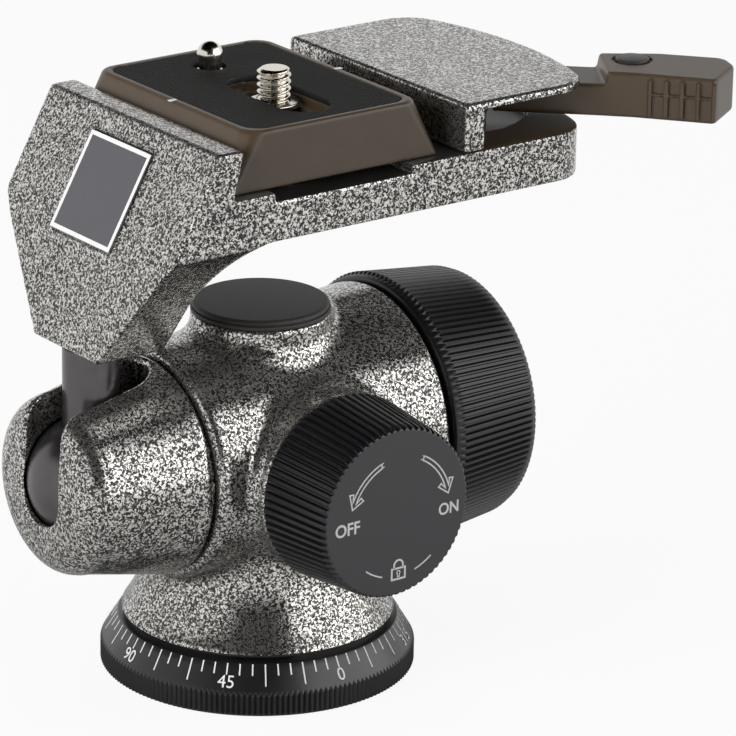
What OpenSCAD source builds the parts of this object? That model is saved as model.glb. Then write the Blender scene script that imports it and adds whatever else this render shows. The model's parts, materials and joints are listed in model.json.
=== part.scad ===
// Off-centre ball head with a quick-release clamp. Millimetres, Z up, underside of the base at z = 0.
// The pan axis is Z. The barrel that holds the ball lies along X, with the ball at -X.

/* [Base] */
// Diameter of the dial ring at its knurled band
base_d = 60; // [58:0.5:63]
// Height of the knurled band
band_h = 4.4; // [3.5:0.1:5]
// Height of the dial ring
base_h = 9.6; // [9.2:0.1:10.4]
// Diameter of the dial ring at the top of its scale
dial_top_d = 53.4; // [53:0.2:55]
// Radius of the 3/8 inch tripod thread, drawn plain
thread_r = 4.79; // [4.7:0.01:4.85]
// Depth of the tripod thread
thread_l = 10.5; // [9:0.5:12]

/* [Pan spindle] */
// Radius of the spindle that the body turns on
spindle_r = 6.5; // [6.3:0.1:6.8]
// Radial gap of a running fit
run_gap = 0.05; // [0.03:0.01:0.08]
// Thickness of the pan thrust washer
washer_t = 1; // [0.8:0.1:1.2]

/* [Body] */
// Height of the barrel axis
axis_z = 44.6; // [44:0.2:46]
// Body radius at the seam to the collar
front_r = 22.1; // [21.8:0.1:22.6]
// Body radius at the ball-lock knob
rear_r = 25.3; // [24.8:0.1:25.8]
// Seam position along the barrel
seam_x = -24; // [-24.4:0.1:-23.6]
// Rear end of the body along the barrel
rear_x = 26.2; // [25.8:0.1:27]
// Radius of the skirt over the dial
skirt_r = 26; // [25.6:0.1:26.4]
// Radius of the column under the barrel
column_r = 20.6; // [19.6:0.2:21.6]
// Radius of the boss under the top cap
boss_r = 13.4; // [13.2:0.1:13.8]
// Top of the boss
boss_z = 70.2; // [70:0.1:71.4]
// Radius of the top cap
cap_r = 13.7; // [13.4:0.1:14]
// Thickness of the top cap
cap_t = 2.3; // [2:0.1:2.6]

/* [Ball and stem] */
// Ball radius
ball_r = 12; // [11.8:0.1:12.2]
// Ball centre along the barrel
ball_x = -38; // [-38.2:0.1:-37.8]
// Gap between the ball and its seats
seat_gap = 0.3; // [0.25:0.05:0.35]
// Stem radius
stem_r = 5.3; // [5:0.1:5.35]
// Gap between the stem and each side of the collar slot
slot_gap = 0.35; // [0.3:0.05:0.45]
// Rear end of the collar slot
slot_rear_x = -26.5; // [-26.8:0.1:-26.2]
// Lower end of the collar slot, below the barrel axis
slot_low = 7; // [6.8:0.1:7.4]

/* [Collar] */
// Collar radius at its front, before the rounded edge
collar_front_r = 17; // [16.4:0.1:17.2]
// Flat front of the collar along the barrel
collar_x = -48.7; // [-49:0.1:-48.5]
// Radius of the collar's rounded front edge
collar_round = 4.6; // [4:0.2:5]
// How far the front face bulges
collar_dome = 0.9; // [0.6:0.1:1.1]

/* [Knobs] */
// Ball-lock knob radius at its front
big_r = 26.7; // [26.4:0.1:27.2]
// Ball-lock knob radius at its rear
big_rear_r = 24.2; // [23.8:0.1:24.8]
// Length of the ball-lock knob
big_l = 21.4; // [20.6:0.2:22.2]
// Height of the pan-lock axis
lock_z = 43.2; // [42.6:0.1:44]
// Pan-lock knob radius at its back
small_r = 18; // [17.4:0.1:18.4]
// Pan-lock knob radius at its face
small_face_r = 16.4; // [16:0.1:17]
// Face of the pan-lock knob, from the pan axis
small_face_y = 43.2; // [42.6:0.1:43.6]
// Back of the pan-lock knob, from the pan axis
small_back_y = 26; // [25.8:0.1:26.6]

/* [Platform] */
// Top of the platform arm
arm_z = 103; // [102.6:0.1:103.6]
// Thickness of the arm
arm_t = 9.3; // [9:0.1:10]
// Half width of the arm
arm_w = 27.3; // [27:0.1:27.6]
// Top of the fixed jaw above the arm
jaw_h = 9; // [8.6:0.1:9.2]
// Front edge of the fixed jaw
jaw_front_x = -28.6; // [-28.8:0.1:-28.4]
// Inner edge of the fixed jaw at its top
jaw_in_x = -23.3; // [-23.5:0.1:-23.1]
// Bottom of the neck
neck_z = 70.5; // [70.3:0.1:71.5]
// Half width of the neck at its bottom
neck_w = 10.1; // [9.6:0.1:10.6]
// Side of the square badge
badge_s = 19.4; // [18.6:0.1:20]
// Thickness of the badge
badge_t = 1; // [0.8:0.1:1.2]

/* [Clamp] */
// Left face of the clamp cover
cover_x = 26; // [25.8:0.1:26.4]
// Height of the cover
cover_h = 9.4; // [9.3:0.1:9.8]
// Thickness of the cover's top plate
cover_t = 1.5; // [1.4:0.1:1.6]
// Half width of the cover
cover_w = 27.8; // [27.6:0.1:28]
// Lever pivot along the arm
pivot_x = 39.6; // [39.4:0.1:39.8]
// Rounded end of the arm and the cover along X
end_x = 60.1; // [59.8:0.1:60.6]
// Radius of that end
end_r = 70; // [60:1:80]
// Radius of its two corners
end_f = 9; // [8:0.5:10]
// Angle of the lever from the arm's length, locked
lever_a = -42; // [-43:0.5:-41]
// Eccentricity of the cam
cam_e = 4; // [3.6:0.1:4.2]
// Lever button radius
button_r = 3.2; // [3:0.1:3.4]

/* [Plate] */
// Length of the plate's underside between the jaws
plate_l = 47; // [46.8:0.1:47.2]
// Height of the plate
plate_h = 11.1; // [10.6:0.1:11.4]
// Half width of the plate
plate_w = 25; // [24.6:0.1:25.4]
// Slope of the plate's two clamped sides, in degrees
plate_a = 22; // [21.5:0.1:22.5]
// Radius of the 1/4 inch camera screw, drawn plain
screw_r = 3.175; // [3.1:0.005:3.175]
// How far the camera screw stands above the plate
screw_up = 4.5; // [4.2:0.1:5.5]
// Radius of the anti-twist pin
pin_r = 2.45; // [2.3:0.05:2.5]
// How far the pin stands above the plate
pin_up = 4.6; // [3.8:0.1:5.4]

/* [Hidden] */
$fn = 96;

base_r = base_d / 2;
dial_top_r = dial_top_d / 2;
flange_z = 5;
flange_r = 15;
foot_r = 9;
base_screw_r = 1.5;
base_screw_at = foot_r + 2 * base_screw_r + 0.3;
screw_sunk = 0.2;
skirt_z = base_h + washer_t;
skirt_h = 0.5;
flare_up = 17;
flare_d = skirt_r - column_r;
flare_r = (flare_d * flare_d + flare_up * flare_up) / (2 * flare_d);
bush_r = spindle_r + 2.5;
spigot_wall = 3.1;
spigot_r = front_r - spigot_wall;
piston_wall = 3.9;
piston_r = spigot_r - piston_wall;
bore_r = piston_r + run_gap;
nut_deep = 4;
nut_z = boss_z - nut_deep;
nut_r = 7.5;
nut_pit_r = 9.5;
spindle_top_r = 4;
spindle_hole_r = spindle_r + 1.7;

spigot_l = 5.2;
seam_gap = 0.4;
clip_t = 1.4;
clip_r = spigot_r + 1;
clip_in_r = clip_r - 2.3;
clip_x = seam_x + 2.4;
dome_h = collar_front_r - collar_round;
dome_r = (dome_h * dome_h + collar_dome * collar_dome) / (2 * collar_dome);
slot_w = stem_r + slot_gap;
slot_out = front_r + 8;
slot_up = front_r + 18;
cup_r = ball_r + seat_gap;
ball_flat = sqrt(ball_r * ball_r - stem_r * stem_r);
stem_pin_r = stem_r - 2.3;
stud_up = 10;
grub_r = 2;
grub_z = neck_z + 4.5;
seat_front_x = ball_x + 8;
seat_rear_x = seam_x + 1.7;
seat_r = cup_r + 1;
seat_stud_r = 5;
seat_stud_l = 3.8;
free_gap = 0.4;

screw_shaft_r = 6;
screw_flange_r = 8;
lock_thread_r = 5;
rear_plate_deep = 5.6;
plate_front_x = rear_x - rear_plate_deep;
piston_free = 3.1;
piston_rear_x = plate_front_x - piston_free;
rear_wall = 4.3;
rear_plate_r = rear_r - rear_wall;
rear_plate_t = rear_x - plate_front_x - 0.4;
rear_screw_r = 1.5;
rear_head_r = 2.8;
rear_screw_at = rear_plate_r - 4;
rear_screw_l = 5.5;
thrust_r = 9;
knob_x = rear_x + 0.7;
knob_end = knob_x + big_l;
hub_r = 10;
knob_cap_r = big_rear_r - 4;
knob_hole = 5;
knob_hollow = 6;

stud_r = 4;
shoe_r = 3.6;
shoe_gap = 0.15;
boss_y = small_back_y - 0.6;
lock_boss_r = small_r - 1;
lock_flare = 4;
knob_face_r = small_face_r - 1.6;

arm_low = arm_z - arm_t;
jaw_z = arm_z + jaw_h;
head_slope = 29.2;
neck_slope = 12;
face_x = jaw_front_x - (jaw_z - arm_low) * tan(head_slope);
foot_x = face_x - (arm_low - neck_z) * tan(neck_slope);
neck_rear_x = ball_x + 9.2;
under_r = 13;
badge_down = 14.3;
badge_sunk = 0.6;
badge_rim = 0.5;
pivot_r = 3;
floor_z = arm_z - 2;
cover_z = arm_z + 0.3;
cover_top = arm_z + cover_h;
slot_top = cover_top - cover_t;
plate_z = arm_z + run_gap;
plate_top = plate_z + plate_h;
jaw_foot_x = jaw_in_x - 2.1;
arm_start_x = jaw_foot_x - 0.6;
plate_left = jaw_foot_x + 0.4;
plate_right = plate_left + plate_l;
plate_mid = plate_left + plate_l / 2;
plate_in = plate_h * tan(plate_a);
plate_round = 1.2;
notch_l = 30.8;
notch_d = 1.8;
pad_t = 1.2;
pad_rim = 1.6;
pad_round = 4.4;
pin_y = plate_w - 10.1;
slot_y = pin_y - 21.9;
slot_reach = 7.6;
screw_y = slot_y + 1.5;
recess_r = 5.2;
recess_d = 2.8;
head_r = 6.6;
head_t = 2.6;
pin_collar = 0.8;
lever_z = arm_z + 1.3;
lever_top = slot_top - 0.4;
grip_top = cover_top + 0.6;
cam_gap = 0.3;
cam_z = floor_z + 0.3;
cam_top = lever_z + 2.8;
cam_reach = pivot_x - plate_right - cam_gap;
cam_r = cam_reach - cam_e;
cam_slope = tan(plate_a);
cam_top_r = cam_r + (cam_top - plate_z) * cam_slope;
pocket_r = cam_reach + 0.6;
cavity_r = cam_e + cam_top_r + 0.4;
hub_top_r = 9;
lever_w = 6;
grip_x = 30.5;
button_x = 37.2;
button_y = 3.2;
button_d = 4.5;
cover_screw_r = 1.6;
cover_screw_at = cavity_r + cover_screw_r + 1.2;
cover_screw_turns = [72, 121, -121];
cover_head_r = 3;
window_x = cover_x + 4.4;
window_side = 14;
window_in = hub_top_r + 2.4;
window_far = 16;
window_rim = 3.8;
fit_gap = 0.02;

// Runs a profile of radius and X about the barrel axis
module on_barrel() {
    translate([0, 0, axis_z]) rotate([0, 90, 0]) children();
}

// Runs a profile of radius and distance toward -Y about the pan-lock axis
module on_lock() {
    translate([0, 0, lock_z]) rotate([90, 0, 0]) children();
}

// A plain round solid between two heights
module disc(r, z1, z2) {
    translate([0, 0, z1]) cylinder(r = r, h = z2 - z1);
}

// A round solid with a straight hole between two heights
module tube(r, hole, z1, z2) {
    translate([0, 0, z1]) linear_extrude(z2 - z1) difference() {
        circle(r);
        circle(hole);
    }
}

// Places three children evenly around Z at a radius
module three(at, from) {
    for (i = [0 : 2]) rotate(from + i * 120) translate([at, 0, 0]) children();
}

// A countersunk screw with its flat head at z = 0 and its shank up
module flat_screw(r, l) {
    rotate_extrude() polygon([[0, 0], [2 * r, 0], [r, r], [r, l], [0, l]]);
}

// A flat outline with rounded corners
module round_box(x1, x2, half, r) {
    translate([x1, r - half]) square([x2 - x1, 2 * (half - r)]);
    translate([x1 + r, -half]) square([x2 - x1 - 2 * r, 2 * half]);
    for (x = [x1 + r, x2 - r], y = [r - half, half - r]) translate([x, y]) circle(r);
}

// Base

// Black dial ring with the knurled band and the sloped scale
module base_ring() {
    color("#161616") difference() {
        rotate_extrude() polygon([[foot_r + fit_gap, 0], [base_r - 0.4, 0], [base_r, 0.4],
            [base_r, band_h], [dial_top_r, base_h], [flange_r + fit_gap, base_h],
            [flange_r + fit_gap, flange_z], [foot_r + fit_gap, flange_z]]);
        three(base_screw_at, 30) {
            translate([0, 0, screw_sunk]) flat_screw(base_screw_r + fit_gap, flange_z + 1);
            disc(2 * (base_screw_r + fit_gap), -1, screw_sunk);
        }
    }
}

// Steel spindle with the tripod thread in its foot
module spindle() {
    color("#8d9095") difference() {
        rotate_extrude() polygon([[0, 0], [foot_r, 0], [foot_r, flange_z],
            [flange_r, flange_z], [flange_r, base_h], [spindle_r, base_h],
            [spindle_r, nut_z + 0.1], [spindle_top_r, nut_z + 0.1],
            [spindle_top_r, boss_z - 0.6], [0, boss_z - 0.6]]);
        disc(thread_r, -1, thread_l);
        three(base_screw_at, 30) disc(base_screw_r + fit_gap, flange_z - 1, base_h + 1);
    }
}

// Three countersunk screws that hold the dial ring to the spindle
module base_screws() {
    color("#55585c") three(base_screw_at, 30) translate([0, 0, screw_sunk])
        flat_screw(base_screw_r, base_h - 1);
}

// Black thrust washer that shows as the dark groove over the dial
module pan_washer() {
    color("#0d0d0d") tube(skirt_r - 0.9, flange_r - 3, base_h, skirt_z - run_gap);
}

// Body

// Enamelled casting with the barrel, the column, the cap boss and the pan-lock boss
module body_shell() {
    color("#8b8b8b") difference() {
        union() {
            rotate_extrude() difference() {
                polygon([[0, skirt_z], [skirt_r, skirt_z], [skirt_r, skirt_z + skirt_h],
                    [column_r + flare_r, skirt_z + skirt_h],
                    [column_r + flare_r, skirt_z + skirt_h + flare_up],
                    [column_r, skirt_z + skirt_h + flare_up], [column_r, axis_z], [0, axis_z]]);
                translate([column_r + flare_r, skirt_z + skirt_h + flare_up]) circle(flare_r);
            }
            on_barrel() rotate_extrude() polygon([[0, seam_x], [front_r - 0.5, seam_x],
                [front_r, seam_x + 0.5], [rear_r, rear_x - 0.5], [rear_r - 0.5, rear_x],
                [0, rear_x]]);
            rotate_extrude() difference() {
                polygon([[0, axis_z], [boss_r + 5, axis_z], [boss_r + 5, boss_z - 6.5],
                    [boss_r, boss_z - 1.5], [boss_r, boss_z - 0.6], [boss_r - 0.6, boss_z],
                    [0, boss_z]]);
                translate([boss_r + 6, boss_z - 1.5]) circle(6);
            }
            on_lock() rotate_extrude() difference() {
                polygon([[0, 0], [lock_boss_r + lock_flare, 0],
                    [lock_boss_r + lock_flare, boss_y - lock_flare], [lock_boss_r, boss_y],
                    [0, boss_y]]);
                translate([lock_boss_r + lock_flare, boss_y]) circle(lock_flare);
            }
        }
        on_barrel() disc(bore_r, seam_x - 1, plate_front_x + 1);
        on_barrel() disc(spigot_r + run_gap, seam_x - 1, seam_x + spigot_l + free_gap);
        on_barrel() disc(clip_r + free_gap, clip_x - free_gap, clip_x + clip_t + free_gap);
        on_barrel() disc(rear_plate_r + fit_gap, plate_front_x, rear_x + 1);
        on_barrel() three(rear_screw_at, 90)
            disc(rear_screw_r + fit_gap, plate_front_x - rear_screw_l - 0.5, plate_front_x + 1);
        disc(bush_r + fit_gap, skirt_z - 1, axis_z);
        disc(bush_r + fit_gap, axis_z, nut_z);
        disc(nut_pit_r, nut_z, boss_z + 1);
        on_lock() disc(stud_r + run_gap, 0, boss_y + 1);
    }
}

// Bronze bush low in the body
module lower_bush() {
    color("#a5793b") tube(bush_r, spindle_r + run_gap, skirt_z + 0.2, axis_z - bore_r - 1);
}

// Bronze bush high in the body
module upper_bush() {
    color("#a5793b") tube(bush_r, spindle_r + run_gap, axis_z + bore_r + 0.8, nut_z);
}

// Washer under the spindle nut
module spindle_washer() {
    color("#9a9da1") tube(bush_r - 0.2, spindle_top_r + fit_gap, nut_z + 0.1, nut_z + 0.8);
}

// Hexagon nut that keeps the body on the spindle
module spindle_nut() {
    color("#83868a") translate([0, 0, nut_z + 0.8]) linear_extrude(2.4) difference() {
        circle(nut_r, $fn = 6);
        circle(spindle_top_r + fit_gap);
    }
}

// Black cap over the spindle nut
module top_cap() {
    color("#1d1d1d") {
        rotate_extrude() polygon([[0, boss_z], [cap_r - 0.3, boss_z], [cap_r, boss_z + 0.3],
            [cap_r, boss_z + 1], [cap_r - 0.4, boss_z + 1], [cap_r - 0.4, boss_z + cap_t - 0.9],
            [cap_r - 0.9, boss_z + cap_t - 0.4], [0, boss_z + cap_t]]);
        tube(nut_pit_r - fit_gap, nut_r + 0.6, boss_z - 1.6, boss_z + 0.1);
    }
}

// Pan lock

// Brass shoe that the stud presses against the spindle
module pan_shoe() {
    color("#b08d4a") difference() {
        on_lock() disc(shoe_r, 2, spindle_r + 4);
        disc(spindle_r + shoe_gap, 0, axis_z * 2);
    }
}

// Steel stud of the pan-lock knob
module pan_stud() {
    color("#85888c") on_lock() disc(stud_r, spindle_r + 4, small_face_y - knob_hole);
}

// Ribbed black pan-lock knob, drawn with its outer outline
module pan_knob() {
    color("#1a1a1a") on_lock() difference() {
        rotate_extrude() polygon([[0, small_back_y], [small_r - 0.8, small_back_y],
            [small_r, small_back_y + 0.8], [small_face_r + 0.3, small_face_y - 1.2],
            [small_face_r - 0.7, small_face_y], [0, small_face_y]]);
        disc(stud_r + fit_gap, small_back_y - 1, small_face_y - knob_hole);
        disc(knob_face_r, small_face_y - 1, small_face_y + 1);
    }
}

// Satin disc with the ON and OFF marks, set in the knob
module pan_knob_face() {
    color("#474648") on_lock()
        disc(knob_face_r - fit_gap, small_face_y - 1, small_face_y - 0.1);
}

// Ball lock

// Piston that carries the ball seat, with a window round the spindle
module piston() {
    color("#9c9ea1") difference() {
        on_barrel() disc(piston_r, seat_rear_x, piston_rear_x);
        disc(spindle_hole_r, 0, 2 * axis_z);
        on_lock() disc(stud_r + 1.6, 0, axis_z);
        on_barrel() disc(lock_thread_r + run_gap, spindle_r, piston_rear_x + 1);
        on_barrel() disc(seat_stud_r + fit_gap, seat_rear_x - 1,
            seat_rear_x + seat_stud_l + 0.2);
    }
}

// Brass cup that bears on the back of the ball
module ball_seat() {
    color("#b3904f") difference() {
        on_barrel() union() {
            disc(seat_r, seat_front_x, seat_rear_x);
            disc(seat_stud_r, seat_rear_x - 1, seat_rear_x + seat_stud_l);
        }
        translate([ball_x, 0, axis_z]) sphere(cup_r);
    }
}

// Steel screw that the ball-lock knob turns in the piston
module lock_screw() {
    color("#85888c") on_barrel() rotate_extrude() polygon([[0, spindle_hole_r + 1.6],
        [lock_thread_r, spindle_hole_r + 1.6], [lock_thread_r, plate_front_x - 1.9],
        [screw_flange_r, plate_front_x - 1.9], [screw_flange_r, plate_front_x - run_gap],
        [screw_shaft_r, plate_front_x - run_gap], [screw_shaft_r, knob_end - knob_hole],
        [0, knob_end - knob_hole]]);
}

// Aluminium plate that closes the rear of the barrel and holds the screw
module rear_plate() {
    color("#2a2a2b") on_barrel() difference() {
        tube(rear_plate_r, screw_shaft_r + run_gap, plate_front_x, plate_front_x + rear_plate_t);
        three(rear_screw_at, 90) {
            disc(rear_screw_r + fit_gap, plate_front_x - 1, rear_x);
            disc(rear_head_r + fit_gap, plate_front_x + 2.4, rear_x);
        }
    }
}

// Three screws of the rear plate
module rear_screws() {
    color("#55585c") on_barrel() three(rear_screw_at, 90) {
        disc(rear_screw_r, plate_front_x - rear_screw_l, plate_front_x + 2.5);
        disc(rear_head_r, plate_front_x + 2.4, plate_front_x + 4.4);
    }
}

// Thrust washer between the rear plate and the knob
module thrust_washer() {
    color("#a5793b") on_barrel() tube(thrust_r, screw_shaft_r + 0.3,
        plate_front_x + rear_plate_t, knob_x - run_gap);
}

// Ribbed black ball-lock knob, drawn with its outer outline
module lock_knob() {
    color("#1a1a1a") on_barrel() difference() {
        rotate_extrude() polygon([[0, knob_x], [big_r - 1, knob_x], [big_r, knob_x + 1],
            [big_rear_r + 0.4, knob_end - 2.2], [big_rear_r - 2, knob_end], [0, knob_end]]);
        disc(screw_shaft_r + fit_gap, knob_x - 1, knob_end - knob_hole);
        tube(rear_plate_r, hub_r, knob_x - 1, knob_x + knob_hollow);
        disc(knob_cap_r, knob_end - 1.2, knob_end + 1);
    }
}

// Plain disc set in the rear of the ball-lock knob
module lock_knob_cap() {
    color("#474648") on_barrel() disc(knob_cap_r - fit_gap, knob_end - 1.2, knob_end - 0.2);
}

// Ball, collar and stem

// Enamelled collar that turns on the barrel, with the slot for the stem
module collar() {
    color("#8b8b8b") difference() {
        on_barrel() union() {
            rotate_extrude() {
                polygon([[0, collar_x], [collar_front_r - collar_round, collar_x],
                    [collar_front_r - collar_round, collar_x + collar_round],
                    [collar_front_r, collar_x + collar_round],
                    [front_r - 0.9, seam_x - seam_gap - 0.6],
                    [front_r - 1.5, seam_x - seam_gap], [0, seam_x - seam_gap]]);
                translate([collar_front_r - collar_round, collar_x + collar_round])
                    circle(collar_round);
            }
            disc(spigot_r, seam_x - seam_gap - 0.1, seam_x + spigot_l);
            rotate_extrude() intersection() {
                translate([0, collar_x - collar_dome]) square([collar_front_r - collar_round,
                    collar_dome + 0.1]);
                translate([0, collar_x - collar_dome + dome_r]) circle(dome_r, $fn = 180);
            }
        }
        translate([ball_x, 0, axis_z]) sphere(cup_r);
        on_barrel() disc(cup_r, ball_x, seam_x + spigot_l + 1);
        on_barrel() disc(seat_r + free_gap, seat_front_x - 1, seam_x + spigot_l + 1);
        on_barrel() disc(piston_r + free_gap, seat_rear_x - 1, seam_x + spigot_l + 1);
        on_barrel() tube(clip_r, clip_in_r, clip_x, clip_x + clip_t);
        translate([ball_x - slot_out, -slot_w, axis_z - slot_low + slot_w])
            cube([slot_rear_x - slot_w - ball_x + slot_out, 2 * slot_w, slot_up]);
        translate([slot_rear_x - slot_w, 0, axis_z]) cylinder(r = slot_w, h = slot_up);
        translate([ball_x - slot_out, 0, axis_z - slot_low + slot_w]) rotate([0, 90, 0])
            cylinder(r = slot_w, h = slot_out);
    }
}

// Spring clip that keeps the collar in the barrel
module collar_clip() {
    color("#77797d") on_barrel()
        tube(clip_r, clip_in_r + fit_gap, clip_x + fit_gap, clip_x + clip_t - fit_gap);
}

// Dark ball with a flat and a bore for the stem
module ball() {
    color("#3a3a3c") translate([ball_x, 0, axis_z]) difference() {
        sphere(ball_r);
        disc(ball_r, ball_flat, ball_r + 1);
        disc(stem_pin_r + run_gap, 1, ball_r + 1);
    }
}

// Dark stem with its pin in the ball and its stud in the neck
module stem() {
    color("#3a3a3c") translate([ball_x, 0, 0]) rotate_extrude() polygon([[0, axis_z + 2],
        [stem_pin_r, axis_z + 2], [stem_pin_r, axis_z + ball_flat + run_gap],
        [stem_r, axis_z + ball_flat + run_gap], [stem_r, neck_z], [stem_pin_r, neck_z],
        [stem_pin_r, neck_z + stud_up], [0, neck_z + stud_up]]);
}

// Grub screw that locks the stem in the neck
module stem_grub_screw() {
    color("#55585c") translate([ball_x + stem_pin_r + run_gap, 0, grub_z]) rotate([0, 90, 0])
        difference() {
            cylinder(r = grub_r, h = 6);
            translate([0, 0, 4]) cylinder(r = 1.15, h = 3, $fn = 6);
        }
}

// Platform

// Plan of the arm and of the cover: straight sides and a rounded end
module end_plan(x1, half) {
    mid = end_x - end_r;
    corner_x = mid + sqrt((end_r - end_f) * (end_r - end_f) - (half - end_f) * (half - end_f));
    translate([x1, -half]) square([corner_x - x1, 2 * half]);
    for (y = [end_f - half, half - end_f]) translate([corner_x, y]) circle(end_f);
    intersection() {
        translate([mid, 0]) circle(end_r, $fn = 360);
        polygon([[corner_x - 5, end_f - half], [corner_x, end_f - half],
            [mid + (corner_x - mid) * 2, (end_f - half) * 2],
            [mid + (corner_x - mid) * 2, (half - end_f) * 2], [corner_x, half - end_f],
            [corner_x - 5, half - end_f]]);
    }
}

// Side view of the head of the platform, in X and height
module head_side() {
    difference() {
        polygon([[jaw_front_x, jaw_z], [face_x + 2.9, arm_low + 5.2], [face_x + 0.5, arm_low + 0.4],
            [face_x - 1, arm_low - 4], [foot_x, neck_z + 0.5], [foot_x + 0.5, neck_z],
            [neck_rear_x + 1, neck_z], [neck_rear_x + 20, neck_z], [neck_rear_x + 20, arm_z],
            [jaw_foot_x, arm_z], [jaw_in_x, jaw_z]]);
        translate([neck_rear_x + under_r, arm_low - under_r]) circle(under_r, $fn = 180);
        translate([neck_rear_x, neck_z - 1]) square([40, arm_low - under_r - neck_z + 1]);
        translate([neck_rear_x + under_r, neck_z - 1]) square([40, arm_low - neck_z + 1]);
    }
}

// Front view of the head: full width above, narrowing down the neck
module head_front() {
    polygon([[-arm_w, jaw_z + 1], [-arm_w, arm_low - 0.4], [-neck_w, neck_z - 0.1],
        [neck_w, neck_z - 0.1], [arm_w, arm_low - 0.4], [arm_w, jaw_z + 1]]);
}

// Enamelled platform: head, neck, arm and fixed jaw in one casting
module platform() {
    color("#8b8b8b") difference() {
        union() {
            translate([0, 0, arm_low]) linear_extrude(arm_t) end_plan(arm_start_x, arm_w);
            intersection() {
                translate([0, arm_w + 1, 0]) rotate([90, 0, 0]) linear_extrude(2 * arm_w + 2)
                    head_side();
                translate([foot_x - 10, 0, 0]) rotate([90, 0, 90]) linear_extrude(70) head_front();
            }
            badge_place() badge_block(badge_rim, -3, 0);
        }
        translate([plate_mid - notch_l / 2 + 0.5, -arm_w - 1, arm_z - notch_d])
            cube([notch_l, 2 * arm_w + 2, notch_d + 1]);
        translate([pivot_x, 0, 0]) disc(pocket_r, floor_z, arm_z + 1);
        translate([pivot_x, 0, 0]) disc(pivot_r + fit_gap, arm_low + 2, arm_z);
        translate([ball_x, 0, 0]) disc(stem_pin_r + fit_gap, neck_z - 1, neck_z + stud_up + 0.2);
        translate([ball_x, 0, grub_z]) rotate([0, 90, 0]) cylinder(r = grub_r + fit_gap, h = 25);
        badge_place() badge_block(fit_gap, -badge_sunk, 2);
        cover_screw_places() {
            disc(cover_screw_r + fit_gap, arm_low - 1, arm_z + 1);
            disc(cover_head_r + fit_gap, arm_low - 1, arm_low + 3);
        }
    }
}

// Puts a child on the sloped front face, with its Z out of the face
module badge_place() {
    translate([jaw_front_x - badge_down * sin(head_slope), 0, jaw_z - badge_down * cos(head_slope)])
        rotate([0, head_slope - 90, 0]) children();
}

// A square block of the badge's size with a margin, between two heights over the face
module badge_block(margin, z1, z2) {
    side = badge_s + 2 * margin;
    translate([-side / 2, -side / 2, z1]) cube([side, side, z2 - z1]);
}

// Puts a child at each screw of the cover
module cover_screw_places() {
    translate([pivot_x, 0, 0]) for (a = cover_screw_turns)
        rotate(a) translate([cover_screw_at, 0, 0]) children();
}

// Blank badge in its recess
module badge() {
    color("#5d5c61") badge_place() badge_block(0, -badge_sunk, badge_t - badge_sunk);
}

// Clamp

// Enamelled cover of the clamp, open where the lever swings
module cover() {
    color("#8b8b8b") difference() {
        translate([0, 0, cover_z]) linear_extrude(cover_top - cover_z)
            end_plan(cover_x, cover_w);
        translate([pivot_x, 0, 0]) disc(cavity_r, cover_z - 1, cam_top + 0.4);
        translate([pivot_x, 0, 0]) disc(hub_top_r + 0.5, cover_z, slot_top);
        translate([0, 0, cover_z - 1]) linear_extrude(slot_top - cover_z + 1) polygon([
            [window_x, -cover_w - 1], [end_x + 10, -cover_w - 1], [end_x + 10, cover_w + 2],
            [pivot_x + window_far, cover_w - window_rim], [pivot_x, window_in], [pivot_x, 0],
            [window_x, -window_side]]);
        translate([pivot_x, 0, 0]) disc(pivot_r + fit_gap, cover_z, slot_top + 0.8);
        cover_screw_places() disc(cover_screw_r + fit_gap, cover_z - 1, slot_top - 1);
    }
}

// Three socket screws that hold the cover from under the arm
module cover_screws() {
    color("#55585c") cover_screw_places() {
        disc(cover_screw_r, arm_low + 0.5, slot_top - 1.4);
        disc(cover_head_r, arm_low + 0.2, arm_low + 3);
    }
}

// Steel pin that the lever turns on
module lever_pin() {
    color("#85888c") translate([pivot_x, 0, 0]) disc(pivot_r, arm_low + 2.2, slot_top + 0.7);
}

// Brown-grey lever with its grip
module lever() {
    color("#5f564d") translate([pivot_x, 0, 0]) rotate(lever_a) difference() {
        union() {
            translate([0, 0, lever_z]) linear_extrude(lever_top - lever_z) {
                circle(hub_top_r);
                translate([0, -lever_w]) square([grip_x + 0.5, 2 * lever_w]);
            }
            translate([0, 0, lever_z]) linear_extrude(grip_top - lever_z) translate([grip_x, 0])
                polygon([[0, -6.2], [7.5, -6.4], [23, -8.6], [26.1, 2], [24, 7], [11.5, 8.4],
                    [0.5, 7]]);
        }
        translate([0, 0, lever_z - 1]) cylinder(r = pivot_r + run_gap, h = 20);
        rotate(-lever_a) translate([-cam_e, 0, lever_z - 1])
            cylinder(r = cam_top_r + fit_gap, h = cam_top - lever_z + 1 + fit_gap);
        translate([button_x, button_y, grip_top - button_d])
            cylinder(r = button_r + run_gap, h = button_d + 1);
    }
}

// Steel cam under the lever that presses the plate
module lever_cam() {
    color("#85888c") difference() {
        translate([pivot_x - cam_e, 0, 0]) rotate_extrude() polygon([[0, cam_z], [cam_r, cam_z],
            [cam_r, plate_z], [cam_top_r, cam_top], [0, cam_top]]);
        translate([pivot_x, 0, 0]) disc(pivot_r + run_gap, cam_z - 1, cam_top + 1);
    }
}

// Round safety button in the top of the grip
module lever_button() {
    color("#3c3a38") translate([pivot_x, 0, 0]) rotate(lever_a) translate([button_x, button_y, 0])
        disc(button_r, grip_top - 2.6, grip_top + 0.7);
}

// Spring under the button, drawn as its sleeve
module button_spring() {
    color("#9a9da1") translate([pivot_x, 0, 0]) rotate(lever_a) translate([button_x, button_y, 0])
        tube(button_r - 1.4, button_r - 1.9, grip_top - button_d, grip_top - button_d + 0.6);
}

// Plate

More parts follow.
